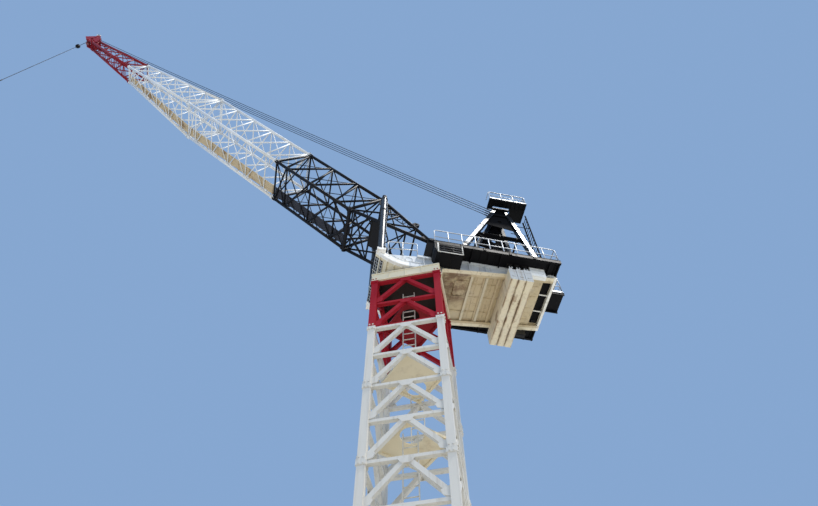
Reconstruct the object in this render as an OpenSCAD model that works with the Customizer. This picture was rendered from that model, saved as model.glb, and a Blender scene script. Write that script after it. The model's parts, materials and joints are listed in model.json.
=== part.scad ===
// Luffing-jib tower crane, scale model at 1:2. Millimetres, +Z up, +X towards the jib head.
// The origin is on the tower's axis, on the flat underside of the base frame.

/* [Tower] */
// outside width of the square tower
tower_w = 1225; // [900:5:1500]
// height of one tower section, two bracing bays
section_h = 1325; // [1000:5:1800]
// white tower sections under the red one
white_sections = 6; // [3:1:8]
// side of a corner post
post_w = 110; // [80:2:160]
// width of a slanting brace
diag_w = 66; // [40:2:100]
// width of a level brace
bar_w = 48; // [30:2:80]
// height of the base frame
base_h = 475; // [300:5:700]
// turn of the tower under the slewing deck, in degrees
tower_turn = -22.3; // [-45:0.1:45]
// diameter of the manhole in a landing
manhole_d = 325; // [280:5:400]
// clear width of the tower ladder
ladder_w = 200; // [180:5:260]
// spacing of ladder rungs
rung_step = 150; // [120:5:180]

/* [Turret and deck] */
// height of the square collar on the tower head
collar_h = 230; // [150:5:350]
// diameter of the slewing ring
ring_d = 1080; // [900:10:1200]
// gap between the ring and the turret over it
slew_gap = 6; // [5:1:12]
// half width of the turret and the deck girders
deck_y = 600; // [500:5:750]
// outer half width of the walkways
walk_y = 950; // [800:5:1100]
// deck level above the tower's red section
deck_z = 750; // [650:5:900]
// rear end of the side walkways
deck_back = -2725; // [-3200:5:-2400]
// plate thickness of walkways and landings
plate_t = 16; // [8:1:30]
// height of a handrail
rail_h = 510; // [450:5:600]
// diameter of a handrail tube
rail_d = 20; // [14:1:30]

/* [Jib] */
// resting slope of the jib, in degrees
luff = 44.5; // [15:0.5:60]
// jib pivot ahead of the slewing axis
pin_x = -302; // [-500:1:200]
// jib pivot above the tower's red section
pin_h = 1395; // [1200:5:1600]
// half spacing of the jib's two pivots
foot_y = 550; // [480:5:650]
// distance from pivot to knee along the jib
knee_u = 1900; // [1500:10:2300]
// end of the black butt section
butt_u = 4545; // [3500:5:6000]
// end of the first white section
mid_u = 8590; // [7000:10:10000]
// end of the second white section
taper_u = 12600; // [11000:10:14000]
// end of the red lattice
tip_u = 15750; // [14500:10:17000]
// half width of the jib
jib_y = 480; // [400:5:600]
// half depth of the jib
jib_n = 500; // [400:5:600]
// half width at the white and red boundary
taper_y = 240; // [180:5:350]
// half depth at the white and red boundary
taper_n = 302; // [200:2:400]
// half width of the lattice at the tip
tip_y = 125; // [100:5:200]
// half depth of the lattice at the tip
tip_n = 130; // [100:5:200]
// diameter of a main chord
chord_d = 72; // [50:2:100]
// diameter of a brace
lace_d = 34; // [24:1:50]

/* [A-frame and ropes] */
// head of the A-frame behind the slewing axis
head_x = -2180; // [-2600:10:-1800]
// head of the A-frame above the tower's red section
head_h = 4150; // [3600:10:4600]
// foot of a front leg
front_foot_x = -640; // [-900:5:-400]
// foot of a rear leg
rear_foot_x = -2610; // [-2900:5:-2300]
// side of an A-frame leg
leg_w = 96; // [70:2:130]
// diameter of the rest posts under the knee
post_d = 126; // [100:2:160]
// half spacing of the rest posts
post_y = 630; // [615:5:680]
// diameter of a luffing rope
rope_d = 16; // [10:1:24]
// spacing of the luffing ropes
rope_step = 56; // [40:2:90]
// height of the hook's lowest point above the tower's red section
hook_h = 7150; // [5000:10:9000]

/* [Hidden] */

cream = [0.86, 0.83, 0.74];
white = [0.86, 0.87, 0.86];
red = [0.55, 0.08, 0.09];
black = [0.07, 0.07, 0.08];
grey = [0.45, 0.46, 0.47];
steel = [0.55, 0.56, 0.58];

bay_h = section_h / 2;
white_top = base_h + white_sections * section_h;
z0 = white_top + section_h;
half = tower_w / 2;
mid_line = half - post_w / 2;
ring_z = z0 + collar_h;
turret_z = ring_z + 40 + slew_gap;
dz = z0 + deck_z;
pin_z = z0 + pin_h;
hz = z0 + head_h;
girder_t = 40;
turret_back = -450;
nose_x = 785;
nose_lip = 30;
band_h = 155;
panel_x2 = -1575;
cw_t = 140;
cw_x = [for (i = [0:2]) -1690 - i * (cw_t + 8)];
ballast_y = 775;
ballast_z = z0 + 140;
well_x = cw_x[2] - cw_t - 24;
panel_x3 = -2490;
fit_gap = 0.3;
run_over = 8;
arm = mid_line * sqrt(2) + 400;
head_u = tip_u + 580;
head_n = 250;
sheave_r = 90;
tip_line_u = tip_u + 270;
tip_line_n = -142;
tip_sheave_r = 75;
butt_panels = 3;
mid_panels = 5;
tip_panels = 4;
knee_r = 42;
rest_u = knee_u - 140;
rest_n = jib_n - 143;
foot_in = 520;
head_in = 200;
lean = atan((foot_in - head_in) / (head_h - deck_z));
function jib_x(u, n) = pin_x + u * cos(luff) - n * sin(luff);
function jib_z(u, n) = pin_z + u * sin(luff) + n * cos(luff);
function lerp(a, b, t) = a + (b - a) * t;
function yat(u) = u <= mid_u ? jib_y : u <= taper_u
  ? lerp(jib_y, taper_y, (u - mid_u) / (taper_u - mid_u))
  : lerp(taper_y, tip_y, (u - taper_u) / (tip_u - taper_u));
function nat(u) = u <= mid_u ? jib_n : u <= taper_u
  ? lerp(jib_n, taper_n, (u - mid_u) / (taper_u - mid_u))
  : lerp(taper_n, tip_n, (u - taper_u) / (tip_u - taper_u));
knee_x = jib_x(rest_u, rest_n);
knee_z = jib_z(rest_u, rest_n);
rope_a = [head_x, 0, hz + 190];
rope_b = [jib_x(head_u, head_n), 0, jib_z(head_u, head_n)];
rope_len = norm(rope_b - rope_a);
line_x = jib_x(tip_line_u, tip_line_n) + tip_sheave_r + rope_d / 2 + 1;
line_z = jib_z(tip_line_u, tip_line_n);
hook_z = z0 + hook_h;

// A straight bar between two points: a prism of n sides.
module rod(p, q, d, n = 6) {
  v = q - p;
  l = norm(v);
  translate(p)
    rotate([0, acos(v[2] / l), atan2(v[1], v[0])])
      cylinder(h = l, d = d, $fn = n);
}

// A square bar between two points, w wide across and t deep.
module beam(p, q, w, t) {
  v = q - p;
  l = norm(v);
  translate(p)
    rotate([0, acos(v[2] / l), atan2(v[1], v[0])])
      translate([-t / 2, -w / 2, 0])
        cube([t, w, l]);
}

// A flat bar in a drawing plane.
module flat(p, q, w) {
  v = q - p;
  translate(p)
    rotate(atan2(v[1], v[0]))
      translate([0, -w / 2])
        square([norm(v), w]);
}

module box(x1, x2, y1, y2, z1, z2) {
  translate([x1, y1, z1])
    cube([x2 - x1, y2 - y1, z2 - z1]);
}

module tower_frame() {
  rotate([0, 0, tower_turn])
    children();
}

// The braces of one face between the posts, drawn with x across and y up.
module lacing(z1, bays) {
  in = half - post_w;
  for (i = [0:bays - 1]) {
    b = z1 + i * bay_h;
    difference() {
      union() {
        flat([-in - 20, b + diag_w * 0.7], [0, b + bay_h - bar_w * 0.6], diag_w);
        flat([in + 20, b + diag_w * 0.7], [0, b + bay_h - bar_w * 0.6], diag_w);
        translate([-in - 20, b + bay_h - bar_w])
          square([2 * in + 40, bar_w]);
      }
      translate([-half * 2, b - 100])
        square([half * 2 - in, bay_h + 400]);
      translate([in, b - 100])
        square([half * 2 - in, bay_h + 400]);
      translate([-half, b + bay_h])
        square([tower_w, 300]);
    }
  }
  translate([-in, z1])
    square([2 * in, bar_w * 0.6]);
}

// The collars where two sections are pinned together, g larger all round.
module collars(z1, bays, g) {
  w = post_w / 2 + 12 + g;
  for (s = [-1, 1])
    for (i = [1:2:bays])
      translate([s * mid_line - w, -w, z1 + (i + 1) * bay_h - 70 - g])
        cube([2 * w, 2 * w, 70 + 2 * g]);
}

module face(turn, z1, bays, posts) {
  tower_frame()
    rotate([0, 0, turn])
      translate([0, -mid_line, 0]) {
        difference() {
          rotate([90, 0, 0])
            linear_extrude(diag_w, center = true)
              lacing(z1, bays);
          if (!posts)
            collars(z1, bays, fit_gap);
        }
        if (posts) {
          collars(z1, bays, 0);
          for (s = [-1, 1])
            translate([s * mid_line - post_w / 2, -post_w / 2, z1])
              cube([post_w, post_w, bays * bay_h]);
        }
      }
}

module base_frame() {
  color(white)
    tower_frame() {
      for (a = [45, 135])
        rotate([0, 0, a])
          translate([-arm - 60, -post_w, 0])
            cube([2 * arm + 120, 2 * post_w, base_h / 2]);
      for (a = [0:90:270])
        rotate([0, 0, a]) {
          translate([-mid_line - post_w * 0.6, -mid_line - post_w * 0.6, 0])
            cube([post_w * 1.2, post_w * 1.2, base_h]);
          translate([-mid_line, -mid_line - post_w * 0.4, base_h - 175])
            cube([2 * mid_line, post_w * 0.8, post_w]);
          rotate([0, 0, 45])
            translate([arm - 40, -post_w * 1.5, 0])
              cube([post_w * 2.4, post_w * 3, 60]);
        }
    }
}

module mast_front() {
  color(white)
    face(0, base_h, 2 * white_sections, true);
}

module mast_back() {
  color(white)
    face(180, base_h, 2 * white_sections, true);
}

module mast_left() {
  color(white)
    face(270, base_h, 2 * white_sections, false);
}

module mast_right() {
  color(white)
    face(90, base_h, 2 * white_sections, false);
}

module top_front() {
  color(red)
    face(0, white_top, 2, true);
}

module top_back() {
  color(red)
    face(180, white_top, 2, true);
}

module top_left() {
  color(red)
    face(270, white_top, 2, false);
}

module top_right() {
  color(red)
    face(90, white_top, 2, false);
}

// Diamond landings hung between the middle bars of the four faces.
module landings() {
  r = mid_line - diag_w / 2;
  color(white)
    tower_frame()
      for (i = [0:white_sections])
        translate([0, 0, base_h + i * section_h + bay_h - 40])
          difference() {
            union() {
              rotate([0, 0, 45])
                translate([-r / sqrt(2), -r / sqrt(2), 24])
                  cube([r * sqrt(2), r * sqrt(2), plate_t]);
              for (a = [45:90:315])
                rotate([0, 0, a])
                  translate([r / sqrt(2) - 40, -r / sqrt(2), 0])
                    cube([40, r * sqrt(2), 30]);
            }
            translate([0, (i % 2 == 0 ? 1 : -1) * 200, -10])
              cylinder(h = 100, d = manhole_d, $fn = 24);
          }
}

module ladders() {
  color(steel)
    tower_frame()
      for (i = [0:white_sections]) {
        b = base_h + i * section_h + bay_h + plate_t - 16;
        s = i % 2 == 0 ? -1 : 1;
        top = i == white_sections ? bay_h - 120 : section_h - 40 - 16;
        translate([0, s * 300, b]) {
          for (x = [-1, 1])
            translate([x * ladder_w / 2 - 8, -18, 0])
              cube([16, 36, top]);
          for (k = [1:floor(top / rung_step)])
            translate([-ladder_w / 2, 0, k * rung_step - 20])
              rotate([0, 90, 0])
                cylinder(h = ladder_w, d = 16, $fn = 6);
        }
      }
}

module collar() {
  color(cream) {
    tower_frame()
      translate([-half, -half, z0])
        difference() {
          cube([tower_w, tower_w, collar_h]);
          translate([90, 90, -1])
            cube([tower_w - 180, tower_w - 180, collar_h - 29]);
        }
    translate([0, 0, ring_z])
      cylinder(h = 40, d = ring_d, $fn = 48);
  }
}

// Height of the turret's underside: level over the ring, swept up to the nose in front.
function sweep_z(x) = turret_z + 0.00105 * pow(max(x - 200, 0), 2);
sweep_x = [for (i = [0:8]) lerp(200, nose_x, i / 8)];
post_foot = dz - 115;

// Side outline of the turret, its top falling a little towards the nose.
module turret_outline() {
  polygon(concat([[turret_back, turret_z]], [for (x = sweep_x) [x, sweep_z(x)]],
    [[nose_x, post_foot + 10], [nose_x - 185, dz - 95], [0, dz], [turret_back, dz]]));
}

// A band of height h along the swept underside.
module sweep_band(x1, h) {
  x = concat([x1], sweep_x);
  polygon(concat([for (v = x) [v, sweep_z(v)]],
    [for (i = [len(x) - 1:-1:0]) [x[i], sweep_z(x[i]) + h]]));
}

module turret() {
  color(cream) {
    difference() {
      union() {
        difference() {
          translate([0, deck_y - girder_t, 0])
            rotate([90, 0, 0])
              linear_extrude(2 * (deck_y - girder_t))
                turret_outline();
          box(turret_back + 50, 100, -deck_y + 2 * girder_t, deck_y - 2 * girder_t, turret_z + 180, dz - 40);
        }
        for (s = [-1, 1])
          translate([0, s * (deck_y - 15) + 30, 0])
            rotate([90, 0, 0])
              linear_extrude(60)
                sweep_band(-100, band_h);
        translate([0, deck_y + nose_lip, 0])
          rotate([90, 0, 0])
            linear_extrude(2 * (deck_y + nose_lip))
              sweep_band(turret_back + 40, 16);
      }
      for (s = [-1, 1])
        translate([0, s * (deck_y + 20), 0])
          box(knee_x - 95, nose_x + 10, -75, 75, post_foot, dz + 200);
    }
    for (s = [-1, 1]) {
      translate([0, s * post_y, 0])
        box(knee_x - post_d * 0.7, nose_x - 5, s > 0 ? -25 : -post_d * 0.55, s > 0 ? post_d * 0.55 : 25,
          post_foot - 60, post_foot);
      translate([0, s * (deck_y - 20), 0])
        box(turret_back, 0, -20, 20, dz - 60, dz);
    }
  }
}

// The underside of the deck girders, rising to the rear.
function belly(x) = lerp(z0 + 325, dz - 120, (turret_back - x) / 2200);

module underframe() {
  color(cream)
    difference() {
      union() {
        for (s = [-1, 1])
          translate([0, s * (deck_y - girder_t / 2), 0]) {
            translate([0, girder_t / 4, 0])
              rotate([90, 0, 0])
                linear_extrude(girder_t / 2)
                  polygon([[turret_back, belly(turret_back)], [deck_back, belly(deck_back)],
                    [deck_back, dz - plate_t], [turret_back, dz - plate_t]]);
            translate([0, 60, 0])
              rotate([90, 0, 0])
                linear_extrude(120)
                  polygon([[turret_back, belly(turret_back)], [deck_back, belly(deck_back)],
                    [deck_back, belly(deck_back) + 18], [turret_back, belly(turret_back) + 18]]);
            translate([0, 60, 0])
              rotate([90, 0, 0])
                linear_extrude(120)
                  polygon([[turret_back, dz - plate_t - 18], [deck_back, dz - plate_t - 18],
                    [deck_back, dz - plate_t], [turret_back, dz - plate_t]]);
          }
        for (x = [turret_back - 20, panel_x2 - 20, well_x - 20])
          box(x - 20, x + 20, -deck_y + 20, deck_y - 20, belly(x) + 20, dz - plate_t);
        box(panel_x3, panel_x3 + 12, -deck_y + 20, deck_y - 20, belly(panel_x3) + 52, dz - plate_t);
        box(deck_back, deck_back + 48, -deck_y + 20, deck_y - 20, belly(deck_back) + 2, dz - plate_t);
        for (y = [-190, 200])
          box(deck_back + 40, panel_x3 + 10, y - 7, y + 7, belly(panel_x3) + 54, belly(panel_x3) + 80);
        for (span = [[turret_back - 10, panel_x2], [well_x - 10, panel_x3]])
          translate([0, deck_y - 40, 0])
            rotate([90, 0, 0])
              linear_extrude(2 * deck_y - 80)
                polygon([[span[0], belly(span[0]) + 50], [span[1], belly(span[1]) + 50],
                  [span[1], belly(span[1]) + 62], [span[0], belly(span[0]) + 62]]);
        for (x = [-1060, -1315])
          box(x - 14, x + 14, -deck_y + 20, deck_y - 20, belly(x) + 30, belly(x) + 70);
      }
      box(deck_back - 300, -400, -deck_y - 200, deck_y + 200, dz - plate_t, dz + 400);
    }
}

module counterweights() {
  color(cream)
    for (x = cw_x) {
      box(x - cw_t + 8, x - 8, -ballast_y, ballast_y, ballast_z, ballast_z + 40);
      box(x - cw_t, x, -ballast_y, ballast_y, ballast_z + 20, belly(x) - 4);
      box(x - cw_t, x, -500, 500, ballast_z + 100, dz + 240);
    }
}

// Lugs that hang the slabs' ends from the walkways, and a clamp box behind them.
module weight_hangers() {
  top = dz - plate_t;
  color(white)
    for (s = [-1, 1]) {
      for (x = cw_x)
        translate([x - cw_t / 2, s * 700, 0]) {
          box(-22, 22, -30, 30, belly(x) - 4 + fit_gap, top);
          box(-50, 50, -45, 45, top - 18, top);
        }
      translate([0, s * 690, 0])
        box(-2445, well_x, -45, 45, z0 + 465, top);
    }
}

module walkways() {
  color(black) {
    for (s = [-1, 1])
      difference() {
        union() {
          translate([0, s * (deck_y + walk_y) / 2, 0])
            box(deck_back, -250, -(walk_y - deck_y) / 2, (walk_y - deck_y) / 2, dz - plate_t, dz);
          translate([0, s * (walk_y - 6), 0])
            box(deck_back, -250, -6, 6, dz - 50, dz + 50);
          for (x = [-480, -1000, -1560, -2520, deck_back + 30])
            translate([x, 0, 0])
              box(-12, 12, s > 0 ? deck_y + 40 : -walk_y + 6, s > 0 ? walk_y - 6 : -deck_y - 40,
                dz - 70, dz - plate_t);
        }
        box(-2460, -1600, -walk_y + 8, walk_y - 8, dz - 200, dz - plate_t - 1);
      }
    difference() {
      box(deck_back, turret_back, -deck_y, deck_y, dz - plate_t, dz);
      box(well_x, cw_x[0] + 24, -520, 520, dz - 100, dz + 100);
    }
  }
}

module rear_platform() {
  color(black) {
    box(-3010, deck_back, -195, 280, dz - plate_t, dz);
    for (y = [-175, 260])
      box(-3010, deck_back, y - 12, y + 12, dz - 60, dz - plate_t);
  }
}

module rail_run(p, q, posts, high = rail_h) {
  v = q - p;
  for (i = [0:posts])
    translate(p + v * i / posts)
      cylinder(h = high, d = rail_d, $fn = 6);
  for (h = [high / 2, high - rail_d / 2])
    rod(p + [0, 0, h], q + [0, 0, h], rail_d * 0.9);
}

module deck_rails() {
  y = walk_y - 30;
  color(steel) {
    rail_run([-270, y, dz], [deck_back + 20, y, dz], 9);
    rail_run([-270, -y, dz], [deck_back + 20, -y, dz], 9);
    rail_run([deck_back + 20, y, dz], [deck_back + 20, 300, dz], 2);
    rail_run([deck_back + 20, -y, dz], [deck_back + 20, -215, dz], 2);
    rail_run([deck_back - 20, 262, dz], [-2990, 262, dz], 1);
    rail_run([deck_back - 20, -177, dz], [-2990, -177, dz], 1);
    rail_run([-2990, -177, dz], [-2990, 262, dz], 1);
    for (s = [-1, 1])
      difference() {
        rail_run([565, s * (deck_y - 50), dz - 92], [-10, s * (deck_y - 50), dz - 3], 2);
        translate([0, deck_y, 0])
          rotate([90, 0, 0])
            linear_extrude(2 * deck_y)
              turret_outline();
      }
  }
}

module side_box() {
  color(black)
    translate([0, walk_y, 0])
      rotate([90, 0, 0])
        linear_extrude(walk_y - deck_y - 44)
          polygon([[-250, dz - 72], [-250, dz - 220], [-290, dz - 330], [-360, dz - 380],
            [-780, dz - 380], [-780, dz - 72]]);
}

module box_guard() {
  color(white) {
    for (h = [-372, -290, -210, -130])
      box(-780, -300, walk_y, walk_y + 12, dz + h, dz + h + (h == -372 ? 20 : 10));
    for (x = [-312, -780])
      box(x, x + 14, walk_y, walk_y + 12, dz - 372, dz - 50);
  }
}

module rest_posts() {
  top = knee_z - knee_r - 5;
  color(black)
    for (s = [-1, 1])
      translate([knee_x, s * post_y, 0]) {
        translate([0, 0, post_foot])
          cylinder(h = top - 20 - post_foot, d = post_d, $fn = 32);
        for (z = [post_foot, knee_z - 600, top - 24])
          translate([0, 0, z])
            cylinder(h = 24, d = post_d * 1.18, $fn = 32);
      }
}

// Two cheek plates on each side of the deck front carry one jib pivot.
module foot_brackets() {
  color(black)
    for (s = [-1, 1])
      translate([0, s * foot_y, 0]) {
        for (c = [-1, 1])
          translate([0, c * 47 + 11, 0])
            rotate([90, 0, 0])
              linear_extrude(22)
                difference() {
                  polygon([[pin_x - 230, dz], [pin_x + 190, dz], [pin_x + 85, pin_z + 40],
                    [pin_x + 40, pin_z + 85], [pin_x - 40, pin_z + 85], [pin_x - 85, pin_z + 40]]);
                  translate([pin_x, pin_z])
                    circle(d = 60, $fn = 32);
                }
        box(pin_x - 215, pin_x - 185, -36, 36, dz, dz + 120);
        translate([pin_x, 0, pin_z])
          rotate([90, 0, 0])
            cylinder(h = 150, d = 60, center = true, $fn = 32);
      }
}

// The plate between the two legs of one side under the head, with two openings.
module side_plate() {
  h = (hz - dz) / cos(lean);
  fx = function(t) lerp(front_foot_x, head_x + 110, t);
  rx = function(t) lerp(rear_foot_x, head_x - 150, t);
  difference() {
    polygon([[fx(0.72), 0.72 * h], [fx(1), h], [rx(1), h], [rx(0.66), 0.66 * h]]);
    for (t = [0.8, 0.9])
      translate([lerp(rx(t), fx(t), 0.5), t * h])
        circle(d = 110, $fn = 24);
  }
}

module a_side(s) {
  y1 = s * foot_in;
  y2 = s * head_in;
  f1 = [front_foot_x, y1, dz];
  f2 = [head_x + 110, y2, hz];
  r1 = [rear_foot_x, y1, dz];
  r2 = [head_x - 150, y2, hz];
  intersection() {
    union() {
      beam(f1 - (f2 - f1) * 0.05, f2, leg_w * 1.15, leg_w);
      beam(r1 - (r2 - r1) * 0.05, r2, leg_w * 1.15, leg_w);
      beam(lerp(f1, f2, 0.52), lerp(r1, r2, 0.52), leg_w * 0.7, leg_w * 0.7);
      beam(lerp(f1, f2, 0.52), lerp(r1, r2, 0.06), leg_w * 0.5, leg_w * 0.5);
      beam(lerp(f1, f2, 0.9), lerp(r1, r2, 0.9), leg_w, leg_w);
      difference() {
        translate([0, 0, dz])
          rotate([90 + s * lean, 0, 0])
            translate([0, 0, -s * foot_in - 8])
              linear_extrude(16)
                side_plate();
      }
    }
    box(rear_foot_x - 500, front_foot_x + 500, -walk_y, walk_y, dz, hz);
  }
}

module a_frame_near() {
  color(black)
    a_side(1);
}

module a_frame_far() {
  color(black)
    a_side(-1);
}

module a_frame_head() {
  color(black) {
    box(head_x - 220, head_x + 180, -250, 250, hz, hz + 36);
    for (y = [-150, 128])
      translate([0, y + 22, 0])
        rotate([90, 0, 0])
          linear_extrude(22)
            polygon([[head_x - 200, hz + 36], [head_x + 160, hz + 36], [head_x + 90, hz + 250],
              [head_x - 90, hz + 250]]);
    translate([head_x, 150, hz + 190])
      rotate([90, 0, 0])
        cylinder(h = 300, d = 50, $fn = 24);
    for (k = [-1.5:1:1.5])
      translate([head_x, k * rope_step + 14, hz + 190])
        rotate([90, 0, 0])
          cylinder(h = 28, r = sheave_r, $fn = 24);
  }
}

module head_platform() {
  z = hz + 36;
  color(black) {
    difference() {
      box(-2790, -1860, 252, 540, z - 50, z - 50 + plate_t);
      box(-2400, -1990, 200, 340, z - 100, z + 100);
    }
    box(-2790, -2430, 0, 252, z - 50, z - 50 + plate_t);
    box(-2470, -1900, 251, 291, z - 34, z);
    rail_run([-1880, 520, z - 34], [-2770, 520, z - 34], 3, rail_h * 0.75);
    rail_run([-2770, 520, z - 34], [-2770, 20, z - 34], 2, rail_h * 0.75);
  }
}

module rear_ladder() {
  x = -2840;
  y = 130;
  top = hz - 14;
  color(black) {
    for (s = [-1, 1])
      translate([x - 18, y + s * ladder_w / 2 - 8, dz])
        cube([36, 16, top - dz]);
    for (k = [1:floor((top - dz) / rung_step)])
      translate([x, y - ladder_w / 2, dz + k * rung_step - 20])
        rotate([-90, 0, 0])
          cylinder(h = ladder_w, d = 16, $fn = 6);
  }
}

module winch(x, y, l, d) {
  translate([x, y, dz + d / 2 + 30]) {
    rotate([90, 0, 0])
      cylinder(h = l, d = d * 0.72, center = true, $fn = 32);
    for (s = [-1, 1])
      translate([0, s * l / 2 + 9, 0])
        rotate([90, 0, 0])
          cylinder(h = 18, d = d, $fn = 32);
    for (s = [-1, 1])
      translate([-d * 0.35, s * (l / 2 + 18) - 9, -d / 2 - 30])
        cube([d * 0.7, 18, d / 2 + 30]);
  }
  box(x - d * 0.6, x + d * 0.6, y - l / 2 - 40, y + l / 2 + 40, dz, dz + 20);
}

module luffing_winch() {
  color(grey)
    winch(-1250, 0, 460, 300);
}

module hoist_winch() {
  color(grey) {
    winch(-2480, 0, 420, 240);
    box(-1560, -1440, 150, 450, dz, dz + 260);
  }
}

module in_jib() {
  translate([pin_x, 0, pin_z])
    rotate([0, -luff, 0])
      children();
}

// Chord point at u along the jib on side s, upper or lower t.
function cp(u, s, t) = [u, s * yat(u), t * nat(u)];

// One side wall of the jib: two chords with end sleeves and a zigzag between them.
// The chords run past both ends by over.
module side_wall(s, u1, u2, panels, d, over = 0) {
  p = (u2 - u1) / panels;
  e = d * 0.9;
  for (t = [-1, 1]) {
    rod(cp(u1 - over, s, t), cp(u2 + over, s, t), chord_d, 8);
    rod(cp(u1 - over, s, t), cp(u1 + 70, s, t), chord_d * 1.3, 8);
    rod(cp(u2 - 70, s, t), cp(u2 + over, s, t), chord_d * 1.3, 8);
  }
  for (i = [0:panels - 1]) {
    rod(cp(u1 + i * p + e, s, 1), cp(u1 + (i + 0.5) * p - e, s, -1), d);
    rod(cp(u1 + (i + 0.5) * p + e, s, -1), cp(u1 + (i + 1) * p - e, s, 1), d);
  }
  for (u = [u1 + 35, u2 - 35])
    rod(cp(u, s, 1), cp(u, s, -1), d * 0.9);
}

// The four chords and their sleeves, drawn a little large to cut what meets them.
module chords(u1, u2, over) {
  d = chord_d + 2 * fit_gap;
  for (s = [-1, 1])
    for (t = [-1, 1]) {
      rod(cp(u1 - over, s, t), cp(u2 + over, s, t), d, 8);
      rod(cp(u1 - over, s, t), cp(u1 + 71, s, t), d * 1.3, 8);
      rod(cp(u2 - 71, s, t), cp(u2 + over, s, t), d * 1.3, 8);
    }
}

// Cross bars and a zigzag between the chords of the top or bottom, cut at the chords.
module flat_wall(t, u1, u2, panels, d, over = 1) {
  p = (u2 - u1) / panels;
  o = t > 0 ? 0 : 0.5;
  a = [for (i = [0:panels - 1]) max(u1 + (i + o) * p, u1 + 35)];
  b = [for (i = [0:panels - 1]) min(u1 + (i + 1 + o) * p, u2 - 35)];
  difference() {
    union() {
      for (i = [0:panels - 1]) {
        rod(cp(a[i], 1, t), cp(a[i], -1, t), d);
        rod(cp(a[i] + 30, 1, t), cp(b[i] - 30, -1, t), d * 0.9);
      }
      rod(cp(u2 - 35, 1, t), cp(u2 - 35, -1, t), d);
    }
    chords(u1, u2, over);
  }
}

// Where a chord of the butt starts, at the pivot on side s.
function foot(s, t) = [-20, s * foot_y, t * 10];

module knee_tubes(g) {
  translate([rest_u, post_y + 65, rest_n])
    rotate([90, 0, 0])
      cylinder(h = 2 * post_y + 130, r = knee_r + g, $fn = 32);
  translate([knee_u, jib_y + 60, -jib_n])
    rotate([90, 0, 0])
      cylinder(h = 2 * jib_y + 120, r = knee_r + g, $fn = 32);
}

module butt_side(s) {
  f = foot(s, 0);
  in_jib()
    difference() {
      union() {
        side_wall(s, knee_u, butt_u, butt_panels, lace_d * 1.3);
        for (t = [-1, 1])
          rod(cp(knee_u + 35, s, t), foot(s, t), chord_d, 8);
        rod(cp(knee_u + 35, s, 1), cp(knee_u + 35, s, -1), chord_d * 0.9, 8);
        rod(lerp(f, cp(knee_u, s, 1), 0.62), lerp(f, cp(knee_u, s, -1), 0.62), lace_d * 1.3);
        rod(lerp(f, cp(knee_u, s, 1), 0.64), cp(knee_u + 20, s, -1), lace_d * 1.2);
        rod(lerp(f, cp(knee_u, s, -1), 0.6), lerp(f, cp(knee_u, s, 1), 0.34), lace_d * 1.2);
        translate([0, s * foot_y + 27, 0])
          rotate([90, 0, 0])
            cylinder(h = 54, d = 150, $fn = 32);
        translate([0, s * (jib_y + 6) + 12, 0])
          rotate([90, 0, 0])
            linear_extrude(24)
              polygon([[rest_u - 170, rest_n + 60], [knee_u + 35, jib_n], [knee_u + 35, jib_n - 70],
                [rest_u + 70, rest_n - 75], [rest_u - 70, rest_n - 75], [rest_u - 170, rest_n + 10]]);
      }
      translate([0, s * foot_y, 0])
        rotate([90, 0, 0])
          cylinder(h = 300, d = 62, center = true, $fn = 32);
      for (c = [-1, 1])
        translate([-200, s * foot_y + (c > 0 ? 29 : -129), -200])
          cube([560, 100, 400]);
      knee_tubes(fit_gap);
    }
}

// Cross bars, braces and a plate between the butt's chords from the pivots to the knee.
module foot_wall(t, a, b) {
  n = [for (k = [-1, 1]) lerp(foot(k, t), cp(knee_u + 35, k, t), a)];
  m = [for (k = [-1, 1]) lerp(foot(k, t), cp(knee_u + 35, k, t), b)];
  difference() {
    union() {
      rod(n[0], n[1], lace_d);
      rod(m[0], m[1], lace_d);
      rod(n[0] + [30, 0, 0], m[1] - [30, 0, 0], lace_d * 0.9);
      rod(n[1] + [30, 0, 0], m[0] - [30, 0, 0], lace_d * 0.9);
    }
    for (s = [-1, 1])
      rod(foot(s, t), cp(knee_u + 35, s, t), chord_d + 2 * fit_gap, 8);
  }
}

module butt_near() {
  color(black)
    butt_side(1);
}

module butt_far() {
  color(black)
    butt_side(-1);
}

// A side wall that narrows along the jib, cut square at both ends.
module narrowing_wall(s, u1, u2, panels, d) {
  intersection() {
    side_wall(s, u1, u2, panels, d, run_over);
    box(u1, u2, -deck_y, deck_y, -deck_y, deck_y);
  }
}

module butt_top() {
  color(black)
    in_jib() {
      flat_wall(1, knee_u + 120, butt_u, butt_panels, lace_d);
      foot_wall(1, 0.3, 0.85);
    }
}

// The two lower chords of the butt between the pivots and the knee, drawn a little large.
module lower_foot_chords() {
  for (s = [-1, 1])
    rod(foot(s, -1), cp(knee_u + 35, s, -1), chord_d + 2 * fit_gap, 8);
}

module butt_bottom() {
  n = [for (t = [0.56, 0.7]) lerp(foot(0, -1), cp(knee_u + 35, 0, -1), t)];
  color(black)
    in_jib() {
      flat_wall(-1, knee_u + 120, butt_u, butt_panels, lace_d);
      foot_wall(-1, 0.3, 0.56);
      foot_wall(-1, 0.7, 0.92);
      difference() {
        translate([0, 170, 0])
          beam(n[0], n[1], 640, 14);
        lower_foot_chords();
      }
      difference() {
        for (s = [-1, 1]) {
          rod([knee_u, 0, -jib_n], cp(knee_u + 560, s, -1), lace_d * 1.4);
          rod([knee_u, 0, -jib_n], lerp(foot(s, -1), cp(knee_u + 35, s, -1), 0.72), lace_d * 1.4);
        }
        lower_foot_chords();
        chords(knee_u, butt_u, 1);
        knee_tubes(fit_gap);
      }
    }
}

module knee_frame() {
  color(black)
    in_jib()
      knee_tubes(0);
}

module mid_side(s) {
  in_jib() {
    side_wall(s, butt_u, mid_u, mid_panels, lace_d);
    narrowing_wall(s, mid_u, taper_u, mid_panels, lace_d);
  }
}

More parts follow.
